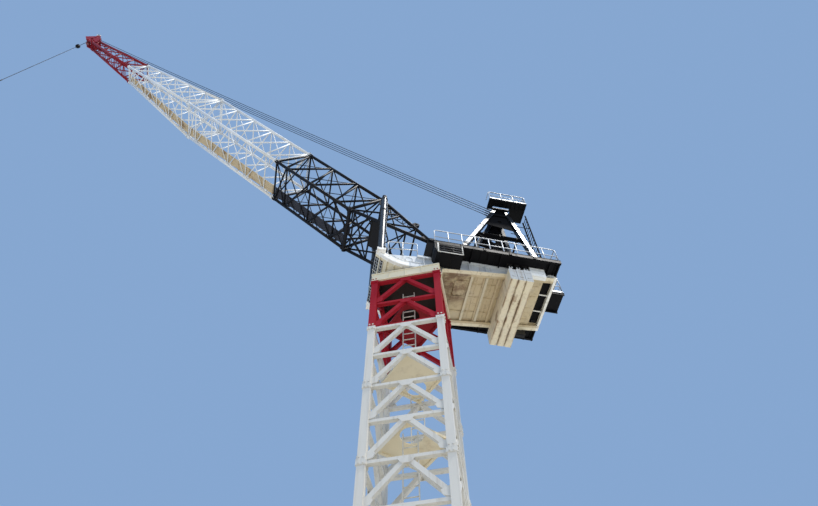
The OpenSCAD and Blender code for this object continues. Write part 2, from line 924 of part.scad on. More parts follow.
module mid_near() {
  color(white)
    mid_side(1);
}

module mid_far() {
  color(white)
    mid_side(-1);
}

module mid_top() {
  color(white)
    in_jib() {
      flat_wall(1, butt_u, mid_u, mid_panels, lace_d);
      flat_wall(1, mid_u, taper_u, mid_panels, lace_d, run_over);
    }
}

module mid_bottom() {
  color(white)
    in_jib() {
      flat_wall(-1, butt_u, mid_u, mid_panels, lace_d);
      flat_wall(-1, mid_u, taper_u, mid_panels, lace_d, run_over);
    }
}

module tip_near() {
  color(red)
    in_jib()
      narrowing_wall(1, taper_u, tip_u, tip_panels, lace_d);
}

module tip_far() {
  color(red)
    in_jib()
      narrowing_wall(-1, taper_u, tip_u, tip_panels, lace_d);
}

module tip_braces() {
  color(red)
    in_jib() {
      flat_wall(1, taper_u, tip_u, tip_panels, lace_d, run_over);
      flat_wall(-1, taper_u, tip_u, tip_panels, lace_d, run_over);
    }
}

// Head plates with the luffing sheaves above and the hoist sheave below.
module jib_head() {
  color(red)
    in_jib() {
      for (y = [-tip_y, tip_y - 18])
        translate([0, y + 18, 0])
          rotate([90, 0, 0])
            linear_extrude(18)
              difference() {
                polygon([[tip_u, -tip_n - 30], [tip_line_u - 10, tip_line_n - 60],
                  [tip_line_u + 50, tip_line_n - 40], [head_u + 90, -60], [head_u + 110, head_n + 40],
                  [head_u + 260, head_n + 170], [head_u + 230, head_n + 230], [head_u + 150, head_n + 220],
                  [tip_u + 60, tip_n + 40], [tip_u, tip_n + 30]]);
                for (k = [0, 1])
                  translate([tip_u + 170 + k * 210, lerp(-20, 40, k)])
                    circle(d = 110, $fn = 24);
              }
      box(tip_u, tip_u + 18, -tip_y, tip_y, -tip_n - 30, tip_n + 30);
      box(head_u + 70, head_u + 88, -tip_y, tip_y, -40, head_n);
      for (q = [[head_u, head_n, 44], [tip_line_u, tip_line_n, 40], [head_u + 205, head_n + 180, 36]])
        translate([q[0], tip_y - 4, q[1]])
          rotate([90, 0, 0])
            cylinder(h = 2 * tip_y - 8, d = q[2], $fn = 24);
      for (q = [[head_u + 205, head_n + 180], [tip_line_u, tip_line_n]])
        translate([q[0], 30, q[1]])
          rotate([90, 0, 0])
            cylinder(h = 60, r = tip_sheave_r, $fn = 32);
    }
}

// Boards along the far lower chord, from the knee to the red tip.
module jib_walkway() {
  w = 240;
  rise = lace_d * 0.7;
  color(steel)
    in_jib() {
      for (span = [[knee_u + 60, butt_u - 40], [butt_u + 40, mid_u - 40]])
        box(span[0], span[1], -jib_y + 60, -jib_y + 60 + w, -jib_n + rise, -jib_n + rise + 14);
      translate([mid_u, 0, -jib_n + rise])
        rotate([0, -atan((jib_n - taper_n) / (taper_u - mid_u)), 0])
          linear_extrude(14)
            polygon([[40, 62 - jib_y], [taper_u - mid_u - 40, 62 - taper_y],
              [taper_u - mid_u - 40, 62 - taper_y + w * 0.7], [40, 62 - jib_y + w]]);
    }
}

// A small guide sheave that stands on the near upper chord.
module jib_drum() {
  c = lerp(foot(1, 1), cp(knee_u + 35, 1, 1), 0.36);
  color(black)
    in_jib()
      difference() {
        translate(c) {
          for (y = [-34, 22])
            translate([-60, y, 0])
              cube([120, 12, 125]);
          translate([0, 26, 100])
            rotate([90, 0, 0])
              cylinder(h = 52, d = 124, $fn = 24);
        }
        rod(foot(1, 1), cp(knee_u + 35, 1, 1), chord_d + 2 * fit_gap, 8);
      }
}

module luffing_ropes() {
  v = (rope_b - rope_a) / rope_len;
  color(steel)
    for (k = [-1.5:1:1.5])
      rod(rope_a + v * (sheave_r + 8) + [0, k * rope_step, 0], rope_b - v * 30 + [0, k * rope_step, 0], rope_d);
}

module hoist_rope() {
  color(steel)
    translate([line_x, 0, hook_z + 420])
      cylinder(h = line_z - hook_z - 420, d = rope_d, $fn = 8);
}

module rope_weight() {
  color(black)
    translate([line_x, 0, line_z - 620])
      difference() {
        cylinder(h = 90, d = 130, $fn = 24);
        translate([0, 0, -10])
          cylinder(h = 120, d = rope_d + 4, $fn = 24);
      }
}

module hook() {
  color(grey)
    translate([line_x, 0, hook_z]) {
      translate([0, 0, 200])
        cylinder(h = 220, d = 110, $fn = 24);
      translate([0, 0, 120])
        cylinder(h = 80, d = 40, $fn = 24);
      translate([0, 20, 0])
        rotate([90, 0, 0])
          linear_extrude(40)
            difference() {
              translate([0, 70])
                circle(d = 140, $fn = 32);
              translate([0, 70])
                circle(d = 76, $fn = 32);
              translate([-90, 70])
                square([70, 90]);
            }
    }
}

base_frame();
mast_front();
mast_back();
mast_left();
mast_right();
top_front();
top_back();
top_left();
top_right();
landings();
ladders();
collar();
turret();
underframe();
counterweights();
weight_hangers();
walkways();
rear_platform();
deck_rails();
side_box();
box_guard();
rest_posts();
foot_brackets();
a_frame_near();
a_frame_far();
a_frame_head();
head_platform();
rear_ladder();
luffing_winch();
hoist_winch();
butt_near();
butt_far();
butt_top();
butt_bottom();
knee_frame();
mid_near();
mid_far();
mid_top();
mid_bottom();
tip_near();
tip_far();
tip_braces();
jib_head();
jib_walkway();
jib_drum();
luffing_ropes();
hoist_rope();
rope_weight();
hook();
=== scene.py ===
import bpy
import json
import math
from mathutils import Euler, Matrix, Vector


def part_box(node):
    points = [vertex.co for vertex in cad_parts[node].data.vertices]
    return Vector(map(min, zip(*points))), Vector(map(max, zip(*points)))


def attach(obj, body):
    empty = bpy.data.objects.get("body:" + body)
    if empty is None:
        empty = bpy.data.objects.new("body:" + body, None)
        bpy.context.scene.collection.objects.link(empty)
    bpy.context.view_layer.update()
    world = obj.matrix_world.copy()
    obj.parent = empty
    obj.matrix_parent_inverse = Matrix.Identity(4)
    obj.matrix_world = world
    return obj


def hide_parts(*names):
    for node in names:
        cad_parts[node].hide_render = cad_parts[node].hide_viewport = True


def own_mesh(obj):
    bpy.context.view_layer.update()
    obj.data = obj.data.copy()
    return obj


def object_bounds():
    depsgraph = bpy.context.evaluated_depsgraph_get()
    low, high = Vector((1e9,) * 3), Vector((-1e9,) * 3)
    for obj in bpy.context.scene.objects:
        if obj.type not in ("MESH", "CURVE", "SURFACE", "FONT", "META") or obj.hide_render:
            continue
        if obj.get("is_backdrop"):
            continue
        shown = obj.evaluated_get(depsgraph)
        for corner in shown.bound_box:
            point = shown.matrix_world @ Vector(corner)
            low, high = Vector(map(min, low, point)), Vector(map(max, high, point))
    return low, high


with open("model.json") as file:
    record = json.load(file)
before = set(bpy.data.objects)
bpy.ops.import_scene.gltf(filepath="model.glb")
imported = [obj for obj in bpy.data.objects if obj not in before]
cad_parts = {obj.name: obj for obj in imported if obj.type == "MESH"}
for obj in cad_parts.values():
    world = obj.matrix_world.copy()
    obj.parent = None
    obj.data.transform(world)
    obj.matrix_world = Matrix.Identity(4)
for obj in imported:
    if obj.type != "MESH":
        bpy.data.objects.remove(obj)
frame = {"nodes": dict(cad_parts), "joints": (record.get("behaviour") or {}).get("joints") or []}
cad_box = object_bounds()
nodes = frame["nodes"]
pivots = {j["name"]: Vector(j["pos_m"]) for j in frame["joints"] if "pos_m" in j}


# Camera: it stands beside the mast's foot, on the near side and a little towards the
# jib, and looks steeply up with the lens and tilt that were fitted to the photograph.
camera = bpy.data.objects.new("view_from_the_foot", bpy.data.cameras.new("view_from_the_foot"))
camera.location = (1.3281, 6.1946, 0.7978)
camera.rotation_euler = Euler([math.radians(a) for a in (149.547, 0.429, 168.982)])
camera.data.sensor_width = 36
camera.data.lens = 26.2514
camera.data.clip_end = 300
bpy.context.scene.collection.objects.link(camera)
bpy.context.scene.camera = camera


# Mast posts and braces: square steel tubes, welded into sections and painted white,
# with the topmost section red. Rain has run down them and rust starts at the joints.
WHITE = (0.70, 0.67, 0.60)
RED = (0.36, 0.010, 0.020)
RUST = (0.20, 0.075, 0.028)
DUST = (0.33, 0.28, 0.21)


class Socket:
    """An output of a shader node; arithmetic on it adds Math nodes."""

    def __init__(self, finish, output):
        self.finish, self.output = finish, output

    def math(self, operation, a, b, clamp=False):
        return self.finish.node("ShaderNodeMath", {"operation": operation, "use_clamp": clamp}, {0: a, 1: b})

    def __add__(self, other):
        return self.math("ADD", self, other)

    def __radd__(self, other):
        return self.math("ADD", other, self)

    def __sub__(self, other):
        return self.math("SUBTRACT", self, other)

    def __rsub__(self, other):
        return self.math("SUBTRACT", other, self)

    def __mul__(self, other):
        return self.math("MULTIPLY", self, other)

    def __rmul__(self, other):
        return self.math("MULTIPLY", other, self)

    def __gt__(self, other):
        return self.math("GREATER_THAN", self, other)

    def __lt__(self, other):
        return self.math("LESS_THAN", self, other)

    def __mod__(self, other):
        return self.math("FLOORED_MODULO", self, other)

    def __rmod__(self, other):
        return self.math("FLOORED_MODULO", other, self)

    def clamp(self):
        return self.math("ADD", self, 0, clamp=True)

    def distance(self):
        return self.finish.node("ShaderNodeMath", {"operation": "ABSOLUTE"}, {0: self})


class Finish:
    """A material, built one node at a time on a Principled shader."""

    def __init__(self, name):
        self.material = bpy.data.materials.new(name)
        self.material.use_nodes = True
        self.tree = self.material.node_tree
        self.shader = self.tree.nodes["Principled BSDF"]

    def plug(self, socket, value):
        if isinstance(value, Socket):
            self.tree.links.new(value.output, socket)
        elif isinstance(value, tuple) and len(value) == 3 and socket.type == "RGBA":
            socket.default_value = (*value, 1)
        else:
            socket.default_value = value

    def node(self, kind, settings=None, sockets=None, output=0):
        """Any node: its type, its settings and the values or links of its sockets."""
        made = self.tree.nodes.new(kind)
        for key, value in (settings or {}).items():
            setattr(made, key, value)
        for key, value in (sockets or {}).items():
            self.plug(made.inputs[key], value)
        return Socket(self, made.outputs[output])

    def place(self):
        return self.node("ShaderNodeTexCoord", output="Object")

    def axis(self, name):
        return self.node("ShaderNodeSeparateXYZ", None, {0: self.place()}, output=name)

    def noise(self, scale, detail=4, stretch=(1, 1, 1), rough=0.55):
        spot = self.node("ShaderNodeVectorMath", {"operation": "MULTIPLY"}, {0: self.place(), 1: stretch})
        return self.node("ShaderNodeTexNoise", None,
                         {"Vector": spot, "Scale": scale, "Detail": detail, "Roughness": rough})

    def mask(self, source, low, high):
        """From 0 where the source is at low to 1 where it is at high."""
        return self.node("ShaderNodeMapRange", {"interpolation_type": "SMOOTHSTEP"},
                         {"Value": source, "From Min": low, "From Max": high})

    def mix(self, factor, a, b):
        return self.node("ShaderNodeMix", {"data_type": "RGBA"}, {0: factor, 6: a, 7: b}, output=2)

    def bump(self, height, strength, distance):
        return self.node("ShaderNodeBump", None,
                         {"Height": height, "Strength": strength, "Distance": distance})

    def set(self, **values):
        for key, value in values.items():
            self.plug(self.shader.inputs[key.replace("_", " ")], value)
        return self.material


def shade(colour, factor):
    """The same paint, lighter or darker."""
    return tuple(c * factor for c in colour)


def painted(name, colour, grime=0.5, rust=0.35, rough=0.42, coat=0.0, stain=DUST, other=None, fade=0.2,
            gloss=0.5):
    """Brushed-on steel paint: faded in broad patches, streaked by rain, rusting in spots."""
    f = Finish(name)
    colour = other(f) if other else f.mix(f.noise(0.9, 3), shade(colour, 0.93), shade(colour, 1.05))
    faded = f.mix(f.mask(f.noise(3.1, 6), 0.42, 0.75) * fade, colour, (0.62, 0.60, 0.56))
    runs = f.mask(f.noise(1.7, 5, (9, 9, 0.55)), 0.50, 0.78)
    dirty = f.mix(runs * grime, faded, stain)
    specks = f.mask(f.noise(17, 6, rough=0.68), 0.70 - 0.10 * rust, 0.78)
    bleeding = f.mask(f.noise(2.3, 6, (6, 6, 0.9), 0.7), 0.66 - 0.08 * rust, 0.80)
    rusted = (specks * 0.9 + bleeding * rust).clamp()
    grain = f.noise(55, 3) * 0.25 + f.noise(6, 4) * 0.4 - rusted * 0.35
    return f.set(Base_Color=f.mix(rusted, dirty, RUST),
                 Roughness=(rough + f.noise(9, 4) * 0.16 + rusted * 0.3 + runs * 0.12).clamp(),
                 Coat_Weight=coat, Coat_Roughness=0.18, Specular_IOR_Level=gloss,
                 Normal=f.bump(grain, 0.28, 0.004))


white_paint = painted("white_mast_paint", WHITE, grime=0.38, rust=0.25)
red_paint = painted("red_mast_paint", RED, grime=0.25, rust=0.1, rough=0.45, stain=(0.12, 0.008, 0.012),
                    fade=0.0, gloss=0.15)
mast_faces = ("mast_front", "mast_back", "mast_left", "mast_right")
top_faces = ("top_front", "top_back", "top_left", "top_right")
for name in mast_faces:
    nodes[name].data.materials[0] = white_paint
for name in top_faces:
    nodes[name].data.materials[0] = red_paint


# Joint fittings: at every section joint each corner post has fishplates on its two
# outer faces, held by pairs of bolts, and the braces meet on welded gusset plates.
class Solid:
    """Collects tubes, blocks, plates and turned forms into one mesh."""

    def __init__(self, place=Matrix.Identity(4)):
        self.place, self.verts, self.faces, self.round = place, [], [], []

    def add(self, verts, faces, smooth=False):
        start = len(self.verts)
        self.verts += [self.place @ Vector(v) for v in verts]
        self.faces += [[start + i for i in face] for face in faces]
        self.round += smooth if isinstance(smooth, list) else [smooth] * len(faces)

    def ring_frame(self, along):
        along = along.normalized()
        side = along.cross(Vector((0, 0, 1)) if abs(along.z) < 0.9 else Vector((1, 0, 0))).normalized()
        return side, along.cross(side)

    def wire(self, points, radius, sides=10, closed=False):
        """A round bar along a row of points."""
        points = [Vector(p) for p in points]
        count, verts = len(points), []
        side = None
        for i, p in enumerate(points):
            ahead = points[(i + 1) % count] if closed or i < count - 1 else p
            behind = points[i - 1] if closed or i > 0 else p
            along = (ahead - behind).normalized()
            if side is None:
                side, up = self.ring_frame(along)
            else:
                side = (side - along * side.dot(along)).normalized()
                up = along.cross(side)
            r = radius[i] if isinstance(radius, (list, tuple)) else radius
            verts += [p + (side * math.cos(a) + up * math.sin(a)) * r
                      for a in (2 * math.pi * k / sides for k in range(sides))]
        faces, smooth = [], []
        for i in range(count if closed else count - 1):
            j = (i + 1) % count
            for k in range(sides):
                n = (k + 1) % sides
                faces.append([i * sides + k, i * sides + n, j * sides + n, j * sides + k])
                smooth.append(True)
        if not closed:
            faces += [list(range(sides))[::-1], [(count - 1) * sides + k for k in range(sides)]]
            smooth += [False, False]
        self.add(verts, faces, smooth)

    def tube(self, a, b, radius, sides=12):
        """A straight round bar."""
        self.wire([a, b], radius, sides)

    def block(self, centre, size, turn=Matrix.Identity(3), cut=0.12):
        """A box with its long edges chamfered by a share of its least side."""
        x, y, z = (s / 2 for s in size)
        c = min(size) * cut
        rings = [(z, x - c, y - c), (z - c, x, y), (c - z, x, y), (-z, x - c, y - c)]
        verts = []
        for h, u, v in rings:
            k = c if (u, v) == (x, y) else 0
            verts += [(u, v - k, h), (u - k, v, h), (k - u, v, h), (-u, v - k, h),
                      (-u, k - v, h), (k - u, -v, h), (u - k, -v, h), (u, k - v, h)]
        faces = [list(range(8)), [24 + i for i in range(8)][::-1]]
        for r in range(3):
            faces += [[r * 8 + i, r * 8 + 8 + i, r * 8 + 8 + (i + 1) % 8, r * 8 + (i + 1) % 8]
                      for i in range(8)]
        self.add([Vector(centre) + turn @ Vector(v) for v in verts], faces)

    def plate(self, outline, thickness):
        """A flat plate: an outline of points and the vector that gives it its thickness."""
        low = [Vector(p) for p in outline]
        n = len(low)
        self.add(low + [p + Vector(thickness) for p in low],
                 [list(range(n))[::-1], [n + i for i in range(n)]]
                 + [[i, (i + 1) % n, n + (i + 1) % n, n + i] for i in range(n)])

    def strip(self, a, b, half, thickness):
        """A flat bar from a to b; half is the vector from its middle line to an edge."""
        a, b, half = Vector(a), Vector(b), Vector(half)
        self.plate([a - half, a + half, b + half, b - half], thickness)

    def turned(self, profile, origin, along, sides=28):
        """A form turned on a lathe: pairs of radius and height along an axis."""
        side, up = self.ring_frame(Vector(along))
        along, verts = Vector(along).normalized(), []
        for r, h in profile:
            verts += [Vector(origin) + along * h + (side * math.cos(a) + up * math.sin(a)) * max(r, 1e-4)
                      for a in (2 * math.pi * k / sides for k in range(sides))]
        faces, smooth = [], []
        for i in range(len(profile) - 1):
            for k in range(sides):
                n = (k + 1) % sides
                faces.append([i * sides + k, i * sides + n, (i + 1) * sides + n, (i + 1) * sides + k])
                smooth.append(profile[i][1] != profile[i + 1][1])
        faces += [list(range(sides))[::-1], [(len(profile) - 1) * sides + k for k in range(sides)]]
        self.add(verts, faces, smooth + [False, False])

    def bolt(self, at, along, size=0.012):
        """A hexagon head on a washer."""
        self.turned([(size * 1.5, 0), (size * 1.5, size * 0.3)], at, along, 12)
        self.turned([(size, size * 0.3), (size, size * 0.9), (size * 0.8, size * 1.05)], at, along, 6)

    def done(self, name, finish, body, slot, replaces=()):
        """Makes the piece and says which body it rides and what it replaces; its slot is not used."""
        mesh = bpy.data.meshes.new(name)
        mesh.from_pydata([tuple(v) for v in self.verts], [], self.faces)
        mesh.polygons.foreach_set("use_smooth", self.round)
        mesh.materials.append(finish)
        mesh.validate()
        piece = bpy.data.objects.new(name, mesh)
        bpy.context.scene.collection.objects.link(piece)
        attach(piece, body)
        if replaces:
            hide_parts(*replaces)
        return piece


mast_turn = Matrix.Rotation(math.radians(-22.3), 4, "Z")
base_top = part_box("mast_front")[0].z
red_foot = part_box("top_front")[0].z
red_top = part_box("top_front")[1].z
section_h = red_top - red_foot
bay_h = section_h / 2
mast_half = 0.6125
post_w = 0.11
post_line = mast_half - post_w / 2
brace_face = post_line + 0.033
gusset_t = 0.007
splice_t = 0.0125


def joint_fittings(low, sections, name, finish, slot):
    """Bolts, fishplates and gussets of some mast sections, from the height low up."""
    s = Solid(mast_turn)
    for level in range(1, sections + 1):
        z = low + level * section_h
        for sx in (-1, 1):
            for sy in (-1, 1):
                corner = Vector((sx * post_line, sy * post_line, z))
                for out, across in ((Vector((sx, 0, 0)), Vector((0, 1, 0))),
                                    (Vector((0, sy, 0)), Vector((1, 0, 0)))):
                    face = corner + out * (post_w / 2 + 0.012)
                    for dz in (-0.040, 0.050):
                        for k in (-1, 1):
                            s.bolt(face + across * k * 0.026 + Vector((0, 0, dz - 0.01)), out, 0.010)
                    high = [face + across * k + Vector((0, 0, h)) for k, h in
                            ((-0.05, 0.001), (0.05, 0.001), (0.05, 0.075), (0.03, 0.1), (-0.03, 0.1),
                             (-0.05, 0.075))]
                    if level < sections:
                        s.plate([p - out * splice_t for p in high], out * splice_t)
    for bay in range(sections * 2):
        foot, head = low + bay * bay_h, low + (bay + 1) * bay_h
        for quarter in range(4):
            turn = Matrix.Rotation(quarter * math.pi / 2, 3, "Z")
            out = turn @ Vector((0, -1, 0))
            s.plate([turn @ Vector((x, -brace_face, z)) for x, z in
                     ((-0.11, head - 0.048), (-0.06, head - 0.115), (0.06, head - 0.115),
                      (0.11, head - 0.048))], out * gusset_t)
            for k in (-1, 1):
                x = mast_half - post_w
                s.plate([turn @ Vector((k * u, -brace_face, z)) for u, z in
                         ((x, foot + 0.005), (x - 0.085, foot + 0.03), (x - 0.115, foot + 0.10),
                          (x, foot + 0.15))], out * gusset_t)
    s.done(name, finish, "tower", slot)


joint_fittings(base_top, 6, "mast_joint_fittings", white_paint, "mast_white")
joint_fittings(red_foot, 1, "top_joint_fittings", red_paint, "mast_red")


# Landings: diamond plates of tear-pattern steel with a round manhole, hung between the
# middle bars of the four faces. The one in the red section is painted with it.
def landing_colour(f):
    """Dirty cream, and dark red in the red section."""
    cream = f.mix(f.noise(2.2, 5), (0.76, 0.65, 0.44), (0.90, 0.80, 0.60))
    dirty = f.mix(f.mask(f.noise(3.4, 6), 0.50, 0.72) * 0.5, cream, (0.36, 0.26, 0.14))
    deep = f.mix(f.noise(2.2, 5), (0.22, 0.005, 0.010), (0.32, 0.008, 0.016))
    return f.mix(f.axis("Z") > red_foot, dirty, deep)


landing = painted("landing_plate", WHITE, grime=0.0, rust=0.35, other=landing_colour, fade=0.0, gloss=0.25)
nodes["landings"].data.materials[0] = landing


# Ladders: flat stiles with round rungs from landing to landing, galvanised under old
# paint, held to the landings with angle cleats. The top flight runs on through the
# red section.
def galvanised(name, colour=(0.50, 0.51, 0.51), rust=0.2):
    """Hot-dip zinc: dull spangles, darker in patches, with rust coming through."""
    f = Finish(name)
    spangle = f.node("ShaderNodeTexVoronoi", None, {"Vector": f.place(), "Scale": 60.0}, output="Distance")
    dull = f.noise(4, 5)
    rusted = f.mask(f.noise(11, 7, rough=0.7), 0.68 - 0.12 * rust, 0.80)
    tone = f.mix((spangle * 0.8 + dull * 0.4).clamp(), shade(colour, 0.7), shade(colour, 1.15))
    return f.set(Base_Color=f.mix(rusted, tone, RUST), Metallic=(0.75 - rusted * 0.7).clamp(),
                 Roughness=(0.36 + dull * 0.25 + rusted * 0.3).clamp(),
                 Normal=f.bump(spangle * 0.2 + dull * 0.5, 0.2, 0.003))


zinc = galvanised("galvanised_steel")
ladders = Solid(mast_turn)
ladder_w, rung_step, rung_r = 0.2, 0.15, 0.0085
flights = 6
for level in range(flights):
    foot = base_top + level * section_h + bay_h
    top_flight = level == flights - 1
    height = section_h + bay_h - 0.12 if top_flight else section_h - 0.056
    y = -0.3 if level % 2 == 0 else 0.3
    for x in (-ladder_w / 2, ladder_w / 2):
        ladders.block((x, y, foot + height / 2), (0.014, 0.036, height), cut=0.3)
        ladders.block((x, y, foot + 0.02), (0.06, 0.05, 0.012))
        ladders.bolt((x + math.copysign(0.022, x), y, foot + 0.026), (0, 0, 1), 0.007)
    for rung in range(1, int(height / rung_step) + 1):
        z = foot + rung * rung_step - 0.02
        ladders.tube((-ladder_w / 2, y, z), (ladder_w / 2, y, z), rung_r, 10)
ladder_paint = painted("ladder_paint", (0.76, 0.72, 0.62), grime=0.3, rust=0.4, fade=0.0)
ladders.done("mast_ladders", ladder_paint, "tower", "galvanised", ["ladders"])


# Base frame: crossed box beams with a foot plate at each end, bolted down to the
# foundation, under four short posts.
nodes["base_frame"].data.materials[0] = painted("base_frame_paint", WHITE, grime=0.7, rust=0.6)
anchors = Solid(mast_turn)
arm = post_line * math.sqrt(2) + 0.40
foot_plate, beam_w = 0.06, 0.22
for quarter in range(4):
    turn = Matrix.Rotation(math.radians(45 + 90 * quarter), 3, "Z")
    for across in (-0.135, 0.135):
        for along in (0.03, 0.17):
            spot = turn @ Vector((arm + along, across, foot_plate))
            anchors.tube(spot, spot + Vector((0, 0, 0.055)), 0.011, 12)
            anchors.bolt(spot, (0, 0, 1), 0.02)
    for across in (-1, 1):
        for along in (0.25, 0.55, 0.85, 1.05):
            spot = turn @ Vector((along, 0, 0))
            side = turn @ Vector((0, across * beam_w / 2, 0))
            anchors.strip(spot + side + Vector((0, 0, 0.012)), spot + side + Vector((0, 0, 0.228)),
                          turn @ Vector((0.006, 0, 0)), side.normalized() * 0.035)
anchors.done("base_anchor_bolts", zinc, "tower", "galvanised")


# Collar and slewing ring: a square box girder on the mast head carries the bearing,
# whose bolts stand all round under the turret.
CREAM = (0.80, 0.71, 0.51)
cream_paint = painted("cream_deck_paint", CREAM, grime=0.45, rust=0.4, stain=(0.36, 0.29, 0.19))


def collar_colour(f):
    """Cream outside, and a near-black painted shade inside the mast head."""
    spun = f.node("ShaderNodeVectorRotate", {"rotation_type": "Z_AXIS"},
                  {"Vector": f.place(), "Angle": -mast_turn.to_euler().z})
    x, y = (f.node("ShaderNodeSeparateXYZ", None, {0: spun}, output=k) for k in "XY")
    hollow, roof = mast_half - 0.020, ring_top - 0.030
    # Painted shade: near black inside the hollow of the mast head.
    painted_hollow_shade = (x.distance() < hollow) * (y.distance() < hollow) * (f.axis("Z") < roof)
    clean = f.mix(f.noise(0.9, 3), shade(CREAM, 0.93), shade(CREAM, 1.05))
    return f.mix(painted_hollow_shade, clean, f.mix(f.noise(3.0, 5), (0.012, 0.008, 0.007), (0.035, 0.020, 0.014)))


ring_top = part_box("collar")[1].z
nodes["collar"].data.materials[0] = painted("collar_paint", CREAM, grime=0.0, rust=0.4,
                                            other=collar_colour, fade=0.0, gloss=0.3)
ring = Solid()
ring_bolts, bolt_circle = 48, 0.505
for k in range(ring_bolts):
    a = 2 * math.pi * k / ring_bolts
    out = Vector((math.cos(a), math.sin(a), 0))
    ring.bolt(out * bolt_circle + Vector((0, 0, ring_top - 0.04)), out, 0.010)
ring.turned([(0.50, 0.0), (0.575, 0.0), (0.575, 0.014), (0.50, 0.014)], (0, 0, ring_top - 0.040),
            (0, 0, 1), 64)
ring.done("slewing_ring_bolts", zinc, "tower", "galvanised")
edges = Solid(mast_turn)
for quarter in range(4):
    turn = Matrix.Rotation(quarter * math.pi / 2, 3, "Z")
    for z in (red_top + 0.014, ring_top - 0.054):
        edges.block(turn @ Vector((0, -mast_half - 0.006, z)), (2 * mast_half + 0.012, 0.014, 0.028),
                    turn, 0.3)
    for k in (-0.3, 0, 0.3):
        edges.block(turn @ Vector((k, -mast_half - 0.006, (red_top + ring_top - 0.04) / 2)),
                    (0.012, 0.014, ring_top - red_top - 0.1), turn, 0.3)
edges.done("collar_edge_flanges", cream_paint, "tower", "deck_cream")


# Turret: a welded box that the ring carries, swept up at the front to a nose that
# bears the rest posts. Bent bands stiffen both sides of the sweep, and a galvanised
# grating lies on the nose's underside.
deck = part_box("underframe")[1].z + 0.016
turret_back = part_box("turret")[0].x
nose_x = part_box("turret")[1].x
turret_y = 0.6
web_y = turret_y - 0.04
belly_z = ring_top + 0.006
post_low, post_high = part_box("rest_posts")
post_x = (post_low.x + post_high.x) / 2
post_y = post_high.y - 0.074
sweep_start, sweep_rate = 0.2, 1.05


def sweep(x, y=0.0, out=0.0):
    """A point on the turret's underside, moved out from it."""
    rise = max(x - sweep_start, 0)
    slope = 2 * sweep_rate * rise
    size = math.hypot(1, slope)
    return Vector((x + out * slope / size, y, belly_z + sweep_rate * rise * rise - out / size))


def turret_colour(f):
    """Cream underneath; flanks in painted blue-grey sky reflection, a painted sunlit band along the sweep."""
    x, side = f.axis("X"), f.axis("Y").distance()
    rise = (x - sweep_start).clamp()
    band = f.axis("Z") < rise * rise * sweep_rate + (belly_z + 0.165)
    clean = f.mix(f.noise(0.9, 3), shade(CREAM, 0.97), shade(CREAM, 1.07))
    # The flanks take a painted blue-grey sky reflection, and the band along the sweep is painted sunlight.
    web = f.mix(f.noise(1.3, 4), (0.56, 0.60, 0.63), (0.70, 0.72, 0.72))
    flank = f.mix(band * (x > 0.17), web, (0.95, 0.93, 0.87))
    return f.mix(side > web_y - 0.005, clean, flank)


turret_paint = painted("turret_paint", CREAM, grime=0.35, rust=0.4, stain=(0.36, 0.29, 0.19),
                       other=turret_colour)
nodes["turret"].data.materials[0] = turret_paint
turret = Solid()
along = [-0.1, 0.05] + [sweep_start + 0.585 * k / 14 for k in range(15)]
for side in (-1, 1):
    y = side * (turret_y + 0.016)
    turret.wire([sweep(x, y, 0.002) for x in [turret_back + 0.05] + along], 0.014, 10)
    turret.wire([sweep(x, y, -0.155) for x in along if x < 0.61], 0.010, 8)
    for x in (-0.04, 0.14, 0.31, 0.46, 0.60, 0.73):
        a, b = sweep(x, y, -0.014), sweep(x, y, -0.142)
        if b.z < post_low.z:
            inward = Vector((0, -side * 0.003, 0))
            turret.strip(a + inward, b + inward, (0.005, 0, 0), (0, side * 0.012, 0))
    for x in (-0.30, -0.12):
        turret.strip((x, side * web_y, belly_z + 0.02), (x, side * web_y, deck - 0.06), (0.006, 0, 0),
                     (0, side * 0.034, 0))
    cover = Vector((0.16, side * web_y, deck - 0.16))
    turret.turned([(0.075, 0), (0.075, 0.008), (0.060, 0.010), (0.060, 0.004)], cover, (0, side, 0), 32)
    for k in range(8):
        a = math.pi * k / 4
        turret.bolt(cover + Vector((0.068 * math.cos(a), side * 0.008, 0.068 * math.sin(a))),
                    (0, side, 0), 0.005)
    for dx, dz in ((-0.07, 0.02), (0.055, 0.02), (-0.07, -0.03), (0.055, -0.03)):
        turret.bolt((post_x + dx, side * (post_y + 0.075), post_low.z - 0.035 + dz), (0, side, 0), 0.007)
    for dx in (-0.085, 0.070):
        turret.strip((post_x + dx, side * (post_y + 0.05), post_low.z),
                     (post_x + dx, side * (post_y - 0.05), post_low.z), (0.004, 0, 0), (0, 0, 0.045))
wide = Vector((0, 0.56, 0))
for x in (0.30, 0.43, 0.56, 0.69):
    a, b = sweep(x - 0.005), sweep(x + 0.005)
    down = (sweep(x, 0, 0.05) - sweep(x)).normalized() * 0.024
    turret.plate([a - wide, b - wide, b + wide, a + wide], down)
for y in (-0.2, 0.2):
    for x1, x2 in zip(along[2:-1], along[3:]):
        down = (sweep(x1, 0, 0.05) - sweep(x1)).normalized() * 0.018
        turret.strip(sweep(x1, y), sweep(x2, y), (0, 0.005, 0), down)
turret.block((nose_x - 0.008, 0, post_low.z + 0.002), (0.014, 1.06, 0.012), cut=0.2)
turret.done("turret_bands_and_ribs", turret_paint, "upper", "deck_cream")
